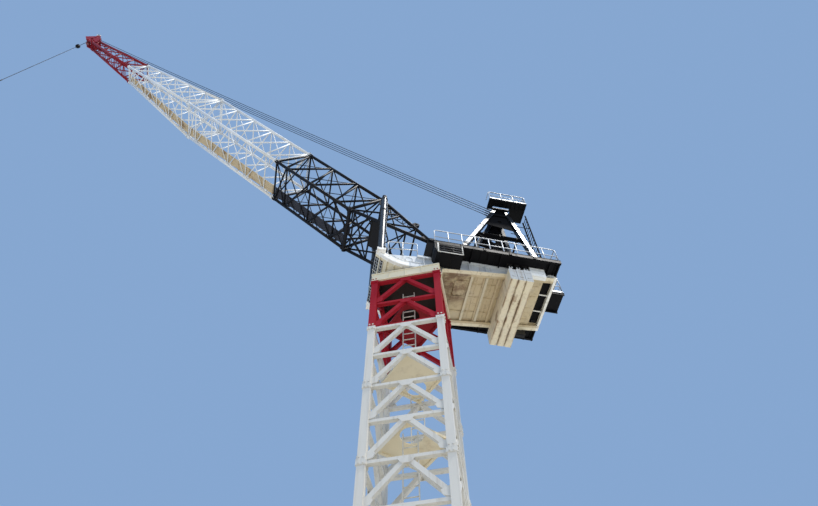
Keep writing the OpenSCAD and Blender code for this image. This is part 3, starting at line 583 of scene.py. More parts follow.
# A near-black sheet on the nose's underside behind the grating: painted shadow for the shade in the hollow of
# the nose.
step_shadow = painted("step_shadow", (0.010, 0.010, 0.011), grime=0.1, fade=0.0, gloss=0.1, rough=0.7)
step_x, step_run, step_far, step_near = 0.635, 0.035, -0.53, 0.50
step = Solid()
for k in range(4):
    a, b = sweep(step_x + step_run * k, 0, 0.004), sweep(step_x + step_run * (k + 1), 0, 0.004)
    far, near = Vector((0, step_far, 0)), Vector((0, step_near, 0))
    step.plate([a + far, b + far, b + near, a + near], (0, 0, -0.003))
step.done("nose_step_shadow_sheet", step_shadow, "upper", "deck_black")
grate = Solid()
for k in range(16):
    y = step_far + 0.01 + 0.066 * k
    grate.wire([sweep(x, y, 0.012) for x in (0.632, 0.68, 0.73, 0.776)], 0.006, 6)
for k in range(5):
    x = 0.634 + 0.034 * k
    grate.tube(sweep(x, step_far, 0.014), sweep(x, step_near, 0.014), 0.007, 8)
grate.done("nose_step_grating", zinc, "upper", "galvanised")


# Deck girders: two tapered webs with flanges, cross ribs and a recessed belly panel
# with a bolted hatch. The panel is rusting where water stands on it.
def belly_colour(f):
    """Tan panels rusty by the hatch between cream flanges; painted sky reflection on webs, painted sunlight
    at rear.
    """
    tan = f.mix(f.noise(1.4, 4), (0.52, 0.41, 0.235), (0.67, 0.55, 0.345))
    x, y = f.axis("X"), f.axis("Y")
    within = f.mask(y.distance(), 0.578, 0.560) * f.mask(x, -0.46, -0.50)
    clean = f.mix(within, f.mix(f.noise(0.9, 3), shade(CREAM, 0.96), shade(CREAM, 1.08)), tan)
    first = f.mask(x.distance() + f.noise(5, 5) * 0.25, 1.22, 1.08)
    patch = first * f.mask(y + f.noise(4, 5) * 0.3, -0.10, 0.14) * within * f.mask(f.noise(7, 5), 0.30, 0.60)
    joint = f.mask(((x + f.noise(7, 4) * 0.035) % 0.37).distance(), 0.035, 0.0)
    seams = joint * f.mask(f.noise(5, 4), 0.45, 0.62)
    rusty = f.mix((patch * 0.9 + seams * 0.4).clamp(), clean, (0.17, 0.088, 0.038))
    above = f.axis("Z") - (turret_back - x) * ((belly_aft - belly_fore) / belly_run)
    web = (y.distance() > 0.572) * (above > belly_fore + 0.035) * (x < turret_back - 0.02)
    bars = ((y + 0.19).distance() < 0.010) + ((y - 0.20).distance() < 0.010)
    # The rear beam and two bars are lightened with painted sunlight.
    rear = ((x < frame_back + 0.052) + bars * (x < -2.50)).clamp()
    # The girder webs take a painted blue-grey sky reflection.
    sky_reflection = f.mix(f.noise(1.3, 4), (0.56, 0.60, 0.63), (0.70, 0.72, 0.72))
    return f.mix(rear, f.mix(web, rusty, sky_reflection), (0.95, 0.93, 0.86))


frame_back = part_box("underframe")[0].x
belly_fore, belly_aft, belly_run = red_top + 0.325, deck - 0.12, 2.2
belly_paint = painted("cream_belly_paint", CREAM, grime=0.6, rust=0.75, stain=(0.34, 0.25, 0.15),
                      other=belly_colour)
nodes["underframe"].data.materials[0] = belly_paint


def belly(x):
    """Height of the girders' underside at a place along the deck."""
    return belly_fore + (belly_aft - belly_fore) * (turret_back - x) / belly_run


def on_belly(corners, thickness):
    """A cover or strip laid on the recessed panels."""
    panels.plate([(x, y, belly(x) + recess) for x, y in corners], (0, 0, thickness))


panels = Solid()
recess = 0.05
for y in (-0.31, 0.03, 0.33):
    for x1, x2 in ((-0.50, -1.04), (-1.08, -1.295), (-1.335, -1.56)):
        on_belly([(x1, y - 0.006), (x2, y - 0.006), (x2, y + 0.006), (x1, y + 0.006)], -0.014)
on_belly([(-1.572, -0.56), (-1.684, -0.56), (-1.684, 0.56), (-1.572, 0.56)], 0.010)
for y in (-0.40, -0.13, 0.15, 0.38):
    on_belly([(-2.20, y - 0.005), (-2.44, y - 0.005), (-2.44, y + 0.005), (-2.20, y + 0.005)], -0.010)
for x in (-0.53, -0.73, -1.18, -1.44, -2.30):
    panels.strip((x, -0.57, belly(x) + recess), (x, 0.57, belly(x) + recess), (0.004, 0, 0), (0, 0, -0.008))
hatch_x, hatch_y, hatch_l, hatch_w = -0.88, 0.225, 0.24, 0.33
hatch = [(hatch_x + hatch_l / 2 * i, hatch_y + hatch_w / 2 * j) for i, j in
         ((1, -1), (-1, -1), (-1, 1), (1, 1))]
on_belly(hatch, -0.010)
panels.wire([(x, y, belly(x) + 0.036) for x, y in hatch], 0.009, 8, closed=True)
for x, y in hatch:
    x, y = hatch_x + (x - hatch_x) * 0.84, hatch_y + (y - hatch_y) * 0.88
    panels.bolt((x, y, belly(x) + 0.040), (0, 0, -1), 0.007)
for side in (-1, 1):
    y = side * 0.60
    for x in (-0.66, -0.98, -1.30, -2.52):
        panels.strip((x, y, belly(x) + 0.018), (x, y, deck - 0.034), (0.005, 0, 0), (0, side * 0.036, 0))
    for x in (-0.49, -0.55, -0.61):
        for z in (0.06, 0.13, 0.20, 0.27):
            panels.bolt((x, y, belly(x) + z), (0, side, 0), 0.007)
panels.done("belly_ribs_and_hatch", belly_paint, "upper", "deck_cream")
rib_paint = painted("belly_rib_paint", shade(CREAM, 0.84), grime=0.45, rust=0.5, fade=0.0)
ribs = Solid()
for x in (-1.06, -1.36):
    ribs.block((x, 0, belly(x) + 0.036), (0.026, 1.12, 0.026), cut=0.25)
    ribs.block((x, 0, belly(x) + 0.020), (0.046, 1.12, 0.008), cut=0.25)
ribs.done("belly_cross_ribs", rib_paint, "upper", "deck_cream")


# Ballast: three heavy slabs hung side by side under the rear of the deck, cream, with
# open joints that bleed rust; small white lugs and a clamp box hold their ends.
def ballast_colour(f):
    """Cream slabs, rusty along their open joints, with paler painted ends."""
    clean = f.mix(f.noise(1.1, 4), shade(CREAM, 0.94), shade(CREAM, 1.10))
    x = f.axis("X") + f.noise(9, 5) * 0.016 - 0.008
    joint = ((x - slab_x[0]) % slab - slab / 2).distance()
    seam = f.mask(joint, 0.046, 0.012) * f.mask(f.noise(2.6, 5), 0.34, 0.54)
    blots = f.mask(f.noise(5.5, 6, (1, 0.5, 0.5)), 0.60, 0.70) * 0.8
    within = (f.axis("X") < ballast_high.x - 0.006) * (f.axis("X") > ballast_low.x + 0.006)
    aged = f.mix((seam * within + blots).clamp() * 0.85, clean, (0.25, 0.13, 0.05))
    ends = (f.axis("Y").distance() > ballast_y - 0.004) * (f.axis("Z") > ballast_low.z + 0.012)
    return f.mix(ends, aged, f.mix(f.noise(2.4, 5), (0.52, 0.53, 0.52), (0.74, 0.75, 0.73)))


def hanger_colour(f):
    """White; the lower ends of the front lugs are black, and the far side, clamp and all, is black as painted
    shade.
    """
    black_ends_and_shade = ((f.axis("X") > -2.14) * (f.axis("Z") > deck - 0.135) + (f.axis("Y") < 0.0)).clamp()
    dark = f.mix(f.noise(3, 4), (0.006, 0.006, 0.007), (0.02, 0.018, 0.016))
    return f.mix(black_ends_and_shade, (0.90, 0.90, 0.86), dark)


ballast_low, ballast_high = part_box("counterweights")
ballast_y, slab, clamp_x = ballast_high.y, 0.148, -2.298
slab_x = [ballast_high.x - 0.070 - slab * k for k in range(3)]
ballast_paint = painted("ballast_paint", CREAM, grime=0.45, rust=0.6, rough=0.6, stain=(0.36, 0.27, 0.17),
                        other=ballast_colour)
hanger_paint = painted("hanger_paint", WHITE, grime=0.0, rust=0.4, other=hanger_colour, fade=0.0, gloss=0.3)
nodes["counterweights"].data.materials[0] = ballast_paint
nodes["weight_hangers"].data.materials[0] = hanger_paint
weights = Solid()
for x in slab_x:
    for side in (-1, 1):
        for z in (0.05, 0.29):
            weights.block((x, side * (ballast_y + 0.003), ballast_low.z + z), (0.116, 0.008, 0.024), cut=0.3)
        bar = Vector((x, side * (ballast_y + 0.005), ballast_low.z + 0.11))
        weights.tube(bar - Vector((0.035, 0, 0)), bar + Vector((0.035, 0, 0)), 0.010, 10)
    for y in (-0.45, 0.45):
        weights.wire([Vector((x + 0.034 * math.cos(a), y, deck + 0.235 + 0.045 * math.sin(a)))
                      for a in (math.pi * i / 8 for i in range(9))], 0.009, 8)
for y in (-0.52, -0.17, 0.18, 0.53):
    weights.block((ballast_high.x + 0.002, y, ballast_low.z + 0.17), (0.006, 0.012, 0.26), cut=0.3)
weights.block((ballast_high.x + 0.002, 0, ballast_low.z + 0.04), (0.006, 1.5, 0.012), cut=0.3)
weights.done("ballast_edge_irons", ballast_paint, "upper", "ballast")
lugs = Solid()
for side in (-1, 1):
    for x in slab_x:
        lugs.tube((x, side * 0.655, deck - 0.12), (x, side * 0.745, deck - 0.12), 0.011, 12)
        lugs.wire([(x + 0.030 * math.cos(a), side * 0.752, deck - 0.155 + 0.040 * math.sin(a))
                   for a in (math.pi * i / 6 for i in range(12))], 0.007, 8, closed=True)
        for dx in (-0.036, 0.036):
            lugs.bolt((x + dx, side * 0.72, deck - 0.034), (0, 0, -1), 0.008)
            lugs.block((x + dx * 0.9, side * 0.70, deck - 0.21), (0.008, 0.07, 0.05), cut=0.3)
    for x in (-2.40, -2.30, -2.20):
        for z in (-0.06, -0.20):
            lugs.bolt((x, side * 0.735, deck + z), (0, side, 0), 0.010)
    lugs.block((clamp_x, side * 0.737, deck - 0.13), (0.27, 0.006, 0.020), cut=0.3)
    lugs.block((clamp_x, side * 0.690, deck - 0.290), (0.25, 0.05, 0.012), cut=0.3)
lugs.done("ballast_clamps", hanger_paint, "upper", "mast_white")


# Walkways: folded black plate along both sides and across the rear, with a deep fascia
# that stands up as a toe board and is spliced with bolted cover strips.
BLACK = (0.005, 0.005, 0.006)
black_paint = painted("black_deck_paint", BLACK, grime=0.08, rust=0.10, rough=0.40,
                      stain=(0.030, 0.024, 0.020), fade=0.0, gloss=0.10)
matte_paint = painted("matte_black_paint", BLACK, grime=0.08, rust=0.12, rough=0.85,
                      stain=(0.030, 0.024, 0.020), fade=0.0, gloss=0.05)
leg_paint = painted("black_leg_paint", BLACK, grime=0.10, rust=0.08, rough=0.26,
                    stain=(0.05, 0.04, 0.032), fade=0.01, gloss=0.7)
for name in ("walkways", "rear_platform", "side_box", "head_platform"):
    nodes[name].data.materials[0] = black_paint
nodes["foot_brackets"].data.materials[0] = matte_paint
walk_low, walk_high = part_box("walkways")
walk_y, deck_back, deck_front = walk_high.y, walk_low.x, walk_high.x
walk_x, walk_l = (deck_back + deck_front) / 2, deck_front - deck_back
plates = Solid()
bearer_step, bar_step = 0.147, 0.05
for side in (-1, 1):
    face = side * walk_y
    for x in (-0.78, -1.22, -1.72, -2.20):
        plates.block((x, face + side * 0.004, deck), (0.05, 0.008, 0.092), cut=0.3)
        for z in (-0.03, 0.03):
            for dx in (-0.015, 0.015):
                plates.bolt((x + dx, face + side * 0.008, deck + z), (0, side, 0), 0.006)
    plates.block((walk_x, face - side * 0.006, deck + 0.049), (walk_l, 0.02, 0.008), cut=0.3)
    plates.block((walk_x, side * (walk_y - 0.03), deck - 0.045), (walk_l, 0.036, 0.010), cut=0.3)
    for k in range(17):
        x = deck_back + 0.09 + k * bearer_step
        if not -2.48 < x < -1.58:
            plates.strip((x, side * 0.66, deck - 0.016), (x, side * 0.93, deck - 0.016), (0.004, 0, 0),
                         (0, 0, -0.02))
plates.done("walkway_cover_strips", black_paint, "upper", "deck_black")


# Walkway tread: galvanised bars of open grating laid on the folded plate.
grating = Solid()
for side in (-1, 1):
    for k in range(7):
        grating.block((walk_x, side * (0.64 + 0.043 * k), deck + 0.006), (walk_l - 0.04, 0.006, 0.012),
                      cut=0.2)
    for k in range(49):
        x = deck_back + 0.04 + k * bar_step
        if x < deck_front - 0.02:
            grating.block((x, side * 0.77, deck + 0.008), (0.006, 0.27, 0.008), cut=0.2)
grating.done("walkway_grating", zinc, "upper", "galvanised")


# Handrails: bent steel tube with a middle rail, on posts in bolted sockets, round the
# deck's edge, the rear platform and the nose.
rail_steel = galvanised("rail_tube", (0.60, 0.61, 0.61), rust=0.15)
rail_h, rail_r = 0.51, 0.0105
rails = Solid()


def rail_run(s, a, b, bays, foot_z=deck, height=rail_h, board=False, end_z=None):
    """A straight run of rail on posts; its end posts bend over into the top rail."""
    a, b = Vector((*a, foot_z)), Vector((*b, foot_z if end_z is None else end_z))
    top = Vector((0, 0, height - rail_r))
    along = (b - a).normalized()
    corner = 0.05 if height > 0.3 else 0.02
    bend = [(corner * (1 - math.cos(t)), Vector((0, 0, corner * (1 - math.sin(t))))) for t in (0.5, 1.05)]
    s.wire([a, a + top - Vector((0, 0, corner))]
           + [a + top + along * run - drop for run, drop in bend]
           + [a + top + along * corner, b + top - along * corner]
           + [b + top - along * run - drop for run, drop in bend[::-1]]
           + [b + top - Vector((0, 0, corner)), b], rail_r, 10)
    s.tube(a + top / 2, b + top / 2, rail_r * 0.85, 10)
    for i in range(1, bays):
        p = a + (b - a) * i / bays
        s.tube(p, p + top, rail_r, 10)
    for i in range(bays + 1):
        p = a + (b - a) * i / bays
        s.turned([(rail_r * 1.7, 0), (rail_r * 1.7, 0.05), (rail_r * 1.2, 0.056)], p, (0, 0, 1), 12)
        s.bolt(p + Vector((0, 0, 0.03)) + along.cross(Vector((0, 0, 1))) * rail_r * 1.6,
               along.cross(Vector((0, 0, 1))), 0.005)
    if board:
        mid = (a + b) / 2 + Vector((0, 0, 0.045))
        turn = Matrix.Rotation(math.atan2(along.y, along.x), 3, "Z")
        s.block(mid, ((b - a).length, 0.006, 0.07), turn, 0.2)


rail_y, front_x, back_x = walk_y - 0.03, -0.27, deck_back + 0.02
rail_run(rails, (front_x, rail_y), (back_x, rail_y), 9)
rail_run(rails, (front_x, -rail_y), (back_x, -rail_y), 9)
rail_run(rails, (back_x, rail_y), (back_x, 0.30), 2, board=True)
rail_run(rails, (back_x, -rail_y), (back_x, -0.215), 2, board=True)
end_x, end_near, end_far = -2.99, 0.262, -0.177
rail_run(rails, (deck_back - 0.02, end_near), (end_x, end_near), 1, board=True)
rail_run(rails, (deck_back - 0.02, end_far), (end_x, end_far), 1, board=True)
rail_run(rails, (end_x, end_far), (end_x, end_near), 1, board=True)
for y in (-0.55, 0.55):
    rail_run(rails, (0.565, y), (-0.01, y), 2, deck - 0.088, end_z=deck)
rails.done("deck_handrails", rail_steel, "upper", "galvanised", ["deck_rails"])


# Side box: a black sheet-steel locker under the near walkway, its seams folded, with
# louvres, two handles and a frame of white bars held off its face.
box_low, box_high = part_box("side_box")
locker = Solid()
for x in (-0.42, -0.60, box_low.x + 0.006):
    locker.block((x, box_high.y + 0.003, (box_low.z + box_high.z) / 2),
                 (0.012, 0.006, box_high.z - box_low.z - 0.01), cut=0.3)
for z in (box_low.z + 0.012, box_high.z - 0.012):
    locker.block((-0.57, box_high.y + 0.003, z), (0.42, 0.006, 0.02), cut=0.3)
for k in range(6):
    z = box_low.z + 0.05 + k * 0.022
    locker.plate([(-0.47, box_high.y + y, z + lift) for y, lift in ((0, 0), (0.010, -0.010), (0, -0.014))],
                 (-0.11, 0, 0))
for x in (-0.66, -0.75):
    locker.wire([(x, box_high.y + y, box_low.z + z) for y, z in
                 ((0, 0.16), (0.012, 0.165), (0.012, 0.205), (0, 0.21))], 0.004, 8)
for x in (-0.40, -0.52, -0.64, -0.76):
    for y in (box_low.y + 0.03, box_high.y - 0.03):
        locker.bolt((x, y, box_low.z), (0, 0, -1), 0.007)
locker.block((-0.58, (box_low.y + box_high.y) / 2, box_low.z - 0.004),
             (0.02, box_high.y - box_low.y - 0.02, 0.008), cut=0.3)
for y in (box_low.y + 0.02, box_high.y - 0.02):
    for x in (-0.32, -0.56, -0.77):
        locker.tube((x, y, box_high.z), (x, y, deck - 0.016), 0.012, 10)
locker.done("side_box_louvres", black_paint, "upper", "deck_black")
guard_low, guard_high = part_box("box_guard")


def guard_colour(f):
    """A white outer frame round dark bars."""
    x, z = f.axis("X"), f.axis("Z")
    upright = (z > guard_low.z + 0.05) * (z < guard_high.z - 0.03)
    inner = upright * (x > guard_low.x + 0.03) * (x < guard_high.x - 0.03)
    return f.mix(inner, WHITE, (0.05, 0.045, 0.045))


guard_paint = painted("guard_paint", WHITE, grime=0.2, rust=0.3, other=guard_colour, fade=0.0)
nodes["box_guard"].data.materials[0] = guard_paint
guard = Solid()
face = guard_high.y
for z in (guard_low.z + 0.010, guard_low.z + 0.087, guard_low.z + 0.167, guard_low.z + 0.247):
    guard.tube((guard_low.x, face - 0.004, z), (guard_high.x, face - 0.004, z), 0.0065, 10)
for x in (guard_low.x + 0.007, guard_high.x - 0.019):
    guard.tube((x, face - 0.004, guard_low.z), (x, face - 0.004, guard_high.z), 0.0085, 10)
    for z in (guard_low.z + 0.02, guard_high.z - 0.03):
        guard.bolt((x, face, z), (0, 1, 0), 0.005)
guard.done("box_guard_bars", guard_paint, "upper", "mast_white")


# Rest posts: two gloss black tubes that stand on the nose and carry the knee of the
# jib, with a bolted joint, stiffened footings and a cable pipe clipped to one side.
gloss_black = painted("gloss_black_paint", (0.010, 0.010, 0.011), grime=0.10, rust=0.10, rough=0.30,
                      stain=(0.05, 0.04, 0.03), fade=0.0, gloss=0.9)
nodes["rest_posts"].data.materials[0] = gloss_black
post_r = 0.063
posts = Solid()
for side in (-1, 1):
    at = Vector((post_x, side * post_y, 0))
    for z in (post_low.z + 0.026, post_high.z - 0.545, post_high.z - 0.026):
        posts.turned([(post_r, -0.010), (post_r + 0.007, -0.008), (post_r + 0.007, 0.008), (post_r, 0.010)],
                     at + Vector((0, 0, z)), (0, 0, 1), 36)
    for k in range(8):
        a = math.pi * k / 4 + 0.39
        out = Vector((math.cos(a), math.sin(a), 0))
        posts.plate([at + out * (post_r + r) + Vector((0, 0, post_low.z + z)) for r, z in
                     ((-0.002, 0.024), (0.010, 0.024), (-0.002, 0.10))], out.cross(Vector((0, 0, 1))) * 0.006)
        posts.bolt(at + out * (post_r + 0.006) + Vector((0, 0, post_high.z - 0.574)), (0, 0, -1), 0.005)
    clip = at + Vector((-post_r - 0.006, side * 0.012, 0))
    posts.wire([clip + Vector((x, 0, z)) for x, z in
                ((0, post_low.z + 0.03), (-0.006, post_low.z + 0.10), (-0.006, post_high.z - 0.65),
                 (-0.012, post_high.z - 0.60), (-0.012, post_high.z - 0.52), (-0.006, post_high.z - 0.47),
                 (-0.006, post_high.z - 0.05))], 0.005, 8)
    for k in range(6):
        z = post_low.z + 0.16 + k * 0.25
        posts.block(clip + Vector((0.002, 0, z)), (0.022, 0.018, 0.012), cut=0.2)
posts.done("rest_post_bands", gloss_black, "upper", "deck_black")


# Pivot brackets: cheek plates on the deck's front that hold the jib's foot pins, with
# a stiffened boss round each pin and a keeper plate over its end.
pivot = pivots["luff"]
pin_y = 0.55
brackets = Solid()
for side in (-1, 1):
    for cheek in (-0.058, 0.058):
        y = side * pin_y + cheek
        out = Vector((0, math.copysign(1, cheek), 0))
        brackets.turned([(0.062, 0), (0.062, 0.010), (0.045, 0.016)], (pivot.x, y, pivot.z), out, 28)
        brackets.strip((pivot.x, y, pivot.z - 0.022), (pivot.x, y, pivot.z + 0.006), (0.05, 0, 0),
                       out * 0.024)
        for k in range(6):
            x = pivot.x - 0.17 + k * 0.06
            if cheek * side > 0:
                brackets.bolt((x, y + out.y * 0.012, deck), (0, 0, 1), 0.008)
brackets.done("pivot_bosses", black_paint, "upper", "deck_black")


# A-frame: four box legs that lean to a head, welded from plate, with a tie and a
# diagonal brace in each side, holed side plates, cable cleats and climbing steps.
head_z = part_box("a_frame_near")[1].z
head_pin = pivots["falls_swing"]
foot_y, top_y, front_foot, rear_foot = 0.52, 0.20, -0.64, -2.61
leg = {(end, side): (Vector((start, side * foot_y, deck)), Vector((head_pin.x + top, side * top_y, head_z)))
       for side in (-1, 1) for end, start, top in (("front", front_foot, 0.11), ("rear", rear_foot, -0.15))}
beams = Solid()


def square_bar(s, a, b, deep, wide, side):
    """A box section whose near face lies in the leaning plane of its side frame."""
    along = (b - a).normalized()
    out = Vector((0, 1, side * (foot_y - top_y) / (head_z - deck))).normalized()
    out = (out - along * out.dot(along)).normalized()
    s.block((a + b) / 2, (deep, wide, (b - a).length),
            Matrix((out.cross(along), out, along)).transposed(), 0.07)


def at_leg(end, side, t):
    """A point on a leg's middle line, from 0 at its foot to 1 at the head."""
    a, b = leg[end, side]
    return a.lerp(b, t)


for side in (-1, 1):
    for end in ("front", "rear"):
        square_bar(beams, at_leg(end, side, -0.006), at_leg(end, side, 0.998), 0.096, 0.110, side)
beams.done("a_frame_legs", leg_paint, "upper", "deck_black", ["a_frame_near", "a_frame_far"])
cheeks = Solid()
tie_t = 0.52
for side in (-1, 1):
    for front_t, rear_t, size in ((tie_t, tie_t, 0.067), (tie_t, 0.06, 0.048), (0.9, 0.9, 0.096)):
        square_bar(cheeks, at_leg("front", side, front_t), at_leg("rear", side, rear_t), size, size, side)


def holed(s, outline, centre, radius, thickness):
    """A plate with a round opening, as strips from the opening out to its outline."""
    u = (outline[1] - outline[0]).normalized()
    v = (outline[2] - outline[1] - u * u.dot(outline[2] - outline[1])).normalized()
    flat = [((p - centre).dot(u), (p - centre).dot(v)) for p in outline]
    turns = sorted([2 * math.pi * k / 24 for k in range(24)]
                   + [math.atan2(y, x) % (2 * math.pi) for x, y in flat])
    inner, outer = [], []
    for a in turns:
        c, d = math.cos(a), math.sin(a)
        reach = min(r for r in ((x1 * (y2 - y1) - y1 * (x2 - x1)) / (c * (y2 - y1) - d * (x2 - x1) + 1e-12)
                                for (x1, y1), (x2, y2) in zip(flat, flat[1:] + flat[:1])) if r > 0)
        outer.append(centre + (u * c + v * d) * reach)
        inner.append(centre + (u * c + v * d) * radius)
    n, t = len(turns), Vector(thickness)
    s.add(outer + inner + [p + t for p in outer + inner],
          [f for k in range(n) for j in ((k + 1) % n,) for f in
           ([k, j, n + j, n + k], [2 * n + k, 3 * n + k, 3 * n + j, 2 * n + j],
            [n + k, n + j, 3 * n + j, 3 * n + k], [k, 2 * n + k, 2 * n + j, j])])


for side in (-1, 1):
    for rear_low, front_low, high_t, hole_t in ((0.66, 0.72, 0.85, 0.80), (0.85, 0.85, 1.0, 0.90)):
        outline = [at_leg(end, side, t) for end, t in
                   (("rear", rear_low), ("front", front_low), ("front", high_t), ("rear", high_t))]
        centre = (at_leg("rear", side, hole_t) + at_leg("front", side, hole_t)) / 2
        holed(cheeks, outline, centre, 0.055, (0, side * 0.012, 0))
cheeks.done("a_frame_beams_and_side_plates", matte_paint, "upper", "deck_black")
legs = Solid()
for side in (-1, 1):
    for a, b in (leg["front", side], leg["rear", side]):
        along = (b - a).normalized()
        across = (Vector((0, 1, 0)) - along * along.y).normalized()
        turn = Matrix((along.cross(across), across, along)).transposed()
        for t in (0.06, 0.30, 0.66):
            legs.block(a.lerp(b, t), (0.106, 0.128, 0.014), turn, 0.3)
        for k in (-1, 1):
            rib = a + Vector((k * 0.085, 0, 0.012))
            legs.strip(rib - Vector((0, 0.07, 0)), rib + Vector((0, 0.07, 0)), (0.004, 0, 0), (0, 0, 0.09))
        legs.block((a.x, a.y, deck + 0.008), (0.28, 0.22, 0.016), cut=0.3)
        for dx in (-0.115, 0.115):
            for dy in (-0.085, 0.085):
                legs.bolt((a.x + dx, a.y + dy, deck + 0.016), (0, 0, 1), 0.012)
    a, b = at_leg("front", side, tie_t), at_leg("rear", side, tie_t)
    for y in (-0.04, 0.04):
        legs.tube(a + Vector((0, y, 0)), b + Vector((0, y, 0)), 0.012, 8)
    for t in (0.15, 0.5, 0.85):
        legs.block(a.lerp(b, t), (0.03, 0.10, 0.09), cut=0.3)
for t in (0.30, 0.62):
    for end in ("front", "rear"):
        legs.tube(at_leg(end, 1, t), at_leg(end, -1, t), 0.024, 12)
step_bend = ((-0.05, -0.05), (-0.09, -0.05), (-0.09, 0.05), (-0.05, 0.05))
for k in range(15):
    step = at_leg("rear", 1, 0.04 + k * 0.038)
    legs.wire([step + Vector((x, y, 0)) for x, y in step_bend], 0.006, 6)
legs.done("a_frame_gussets_and_steps", black_paint, "upper", "deck_black")


# A-frame head: a bed plate with two cheeks, and four grooved sheaves on one axle that
# the luffing ropes run over, with a keeper bar above them.
sheave_steel = galvanised("sheave_steel", (0.30, 0.30, 0.31), rust=0.35)
rope_step, sheave_r = 0.056, 0.09


def grooved(s, centre, radius, width):
    """A sheave on an axle across the crane: hub, web and a rim with a rope groove."""
    h = width / 2
    flank = [(radius * 0.30, h * 1.1), (radius * 0.30, h * 0.5), (radius * 0.72, h * 0.4), (radius * 0.76, h),
             (radius, h), (radius, h * 0.8), (radius * 0.84, h * 0.25)]
    s.turned([(r, -y) for r, y in flank] + flank[::-1], centre, (0, 1, 0), 32)


head = Solid()
cheek_shape = [(-0.20, 0.036), (0.16, 0.036), (0.14, 0.11), (0.095, 0.235), (0.06, 0.25), (-0.06, 0.25),
               (-0.095, 0.235), (-0.17, 0.11)]
head.block((head_pin.x - 0.02, 0, head_z + 0.018), (0.40, 0.50, 0.036), cut=0.2)
for y in (-0.139, 0.139):
    out = Vector((0, math.copysign(0.022, y), 0))
    head.plate([(head_pin.x + x, y - out.y / 2, head_z + z) for x, z in cheek_shape], out)
    head.turned([(0.055, 0), (0.055, 0.008), (0.038, 0.012), (0.030, 0.012), (0.030, 0.020)],
                (head_pin.x, y + out.y / 2, head_pin.z), out, 24)
    for x in (-0.13, 0.0, 0.11):
        rib = [(-0.006, 0.036), (0.006, 0.036), (0.006, 0.15), (-0.006, 0.10)]
        head.plate([(head_pin.x + x + dx, y, head_z + z) for dx, z in rib], (0, math.copysign(0.06, y), 0))
for x in (-0.17, 0.13):
    for y in (-0.22, 0.22):
        head.bolt((head_pin.x + x, y, head_z + 0.036), (0, 0, 1), 0.012)
keeper = Vector((head_pin.x - 0.06, 0, head_z + 0.235))
head.tube(keeper - Vector((0, 0.15, 0)), keeper + Vector((0, 0.15, 0)), 0.010, 10)
head.done("a_frame_head_cheeks", black_paint, "upper", "deck_black", ["a_frame_head"])
pulleys = Solid()
for k in range(4):
    grooved(pulleys, Vector((head_pin.x, (k - 1.5) * rope_step, head_pin.z)), sheave_r, 0.030)
pulleys.tube((head_pin.x, -0.150, head_pin.z), (head_pin.x, 0.150, head_pin.z), 0.025, 20)
pulleys.done("a_frame_head_sheaves", sheave_steel, "upper", "galvanised")


# Head platform: a black plate with an upstand on the near side of the head, with a low
# double rail, toe boards and bearers underneath.
low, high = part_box("head_platform")
platform_z = head_z - 0.014
perch = Solid()
perch.block(((low.x + high.x) / 2, 0.53, platform_z + 0.012), (high.x - low.x, 0.010, 0.055), cut=0.3)
for x in (high.x - 0.006, low.x + 0.006):
    perch.block((x, 0.40, platform_z + 0.012), (0.010, 0.27, 0.055), cut=0.3)
for k in range(9):
    x = low.x + 0.05 + k * (high.x - low.x - 0.10) / 8
    perch.block((x, 0.44, platform_z - 0.020), (0.010, 0.18, 0.016), cut=0.3)
for y in (0.36, 0.52):
    perch.block(((low.x + high.x) / 2, y, platform_z - 0.034), (high.x - low.x - 0.02, 0.012, 0.018), cut=0.3)
perch.done("head_platform_beams", black_paint, "upper", "deck_black")
perch_rail = Solid()
front, rear = high.x - 0.015, low.x + 0.015
for a, b, bays in (((front, 0.525), (rear, 0.525), 3), ((rear, 0.52), (rear, 0.03), 2)):
    rail_run(perch_rail, a, b, bays, platform_z, high.z - platform_z, board=True)
perch_rail.tube((front, 0.525, high.z - 0.012), (front, 0.30, high.z - 0.012), 0.009, 10)
perch_rail.done("head_platform_rails", rail_steel, "upper", "galvanised")


# Rear ladder: from the small rear platform to the head, with round rungs and stand-off
# stays to the rear legs.
low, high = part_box("rear_ladder")
ladder_x = (low.x + high.x) / 2
climb = Solid()
for y in (low.y + 0.008, high.y - 0.008):
    climb.block((ladder_x, y, (low.z + high.z) / 2), (0.036, 0.014, high.z - low.z), cut=0.3)
    for t in (0.45, 0.80):
        z = low.z + (high.z - low.z) * t
        clip = at_leg("rear", 1, t)
        far_y = math.copysign(min(abs(y), abs(clip.y)), y)
        climb.tube((ladder_x + 0.01, y, z), (clip.x - 0.04, far_y, z), 0.008, 8)
for rung in range(1, int((high.z - low.z) / rung_step) + 1):
    z = low.z + rung * rung_step - 0.02
    climb.tube((ladder_x, low.y + 0.01, z), (ladder_x, high.y - 0.01, z), rung_r, 10)
climb.done("rear_access_ladder", matte_paint, "upper", "deck_black", ["rear_ladder"])


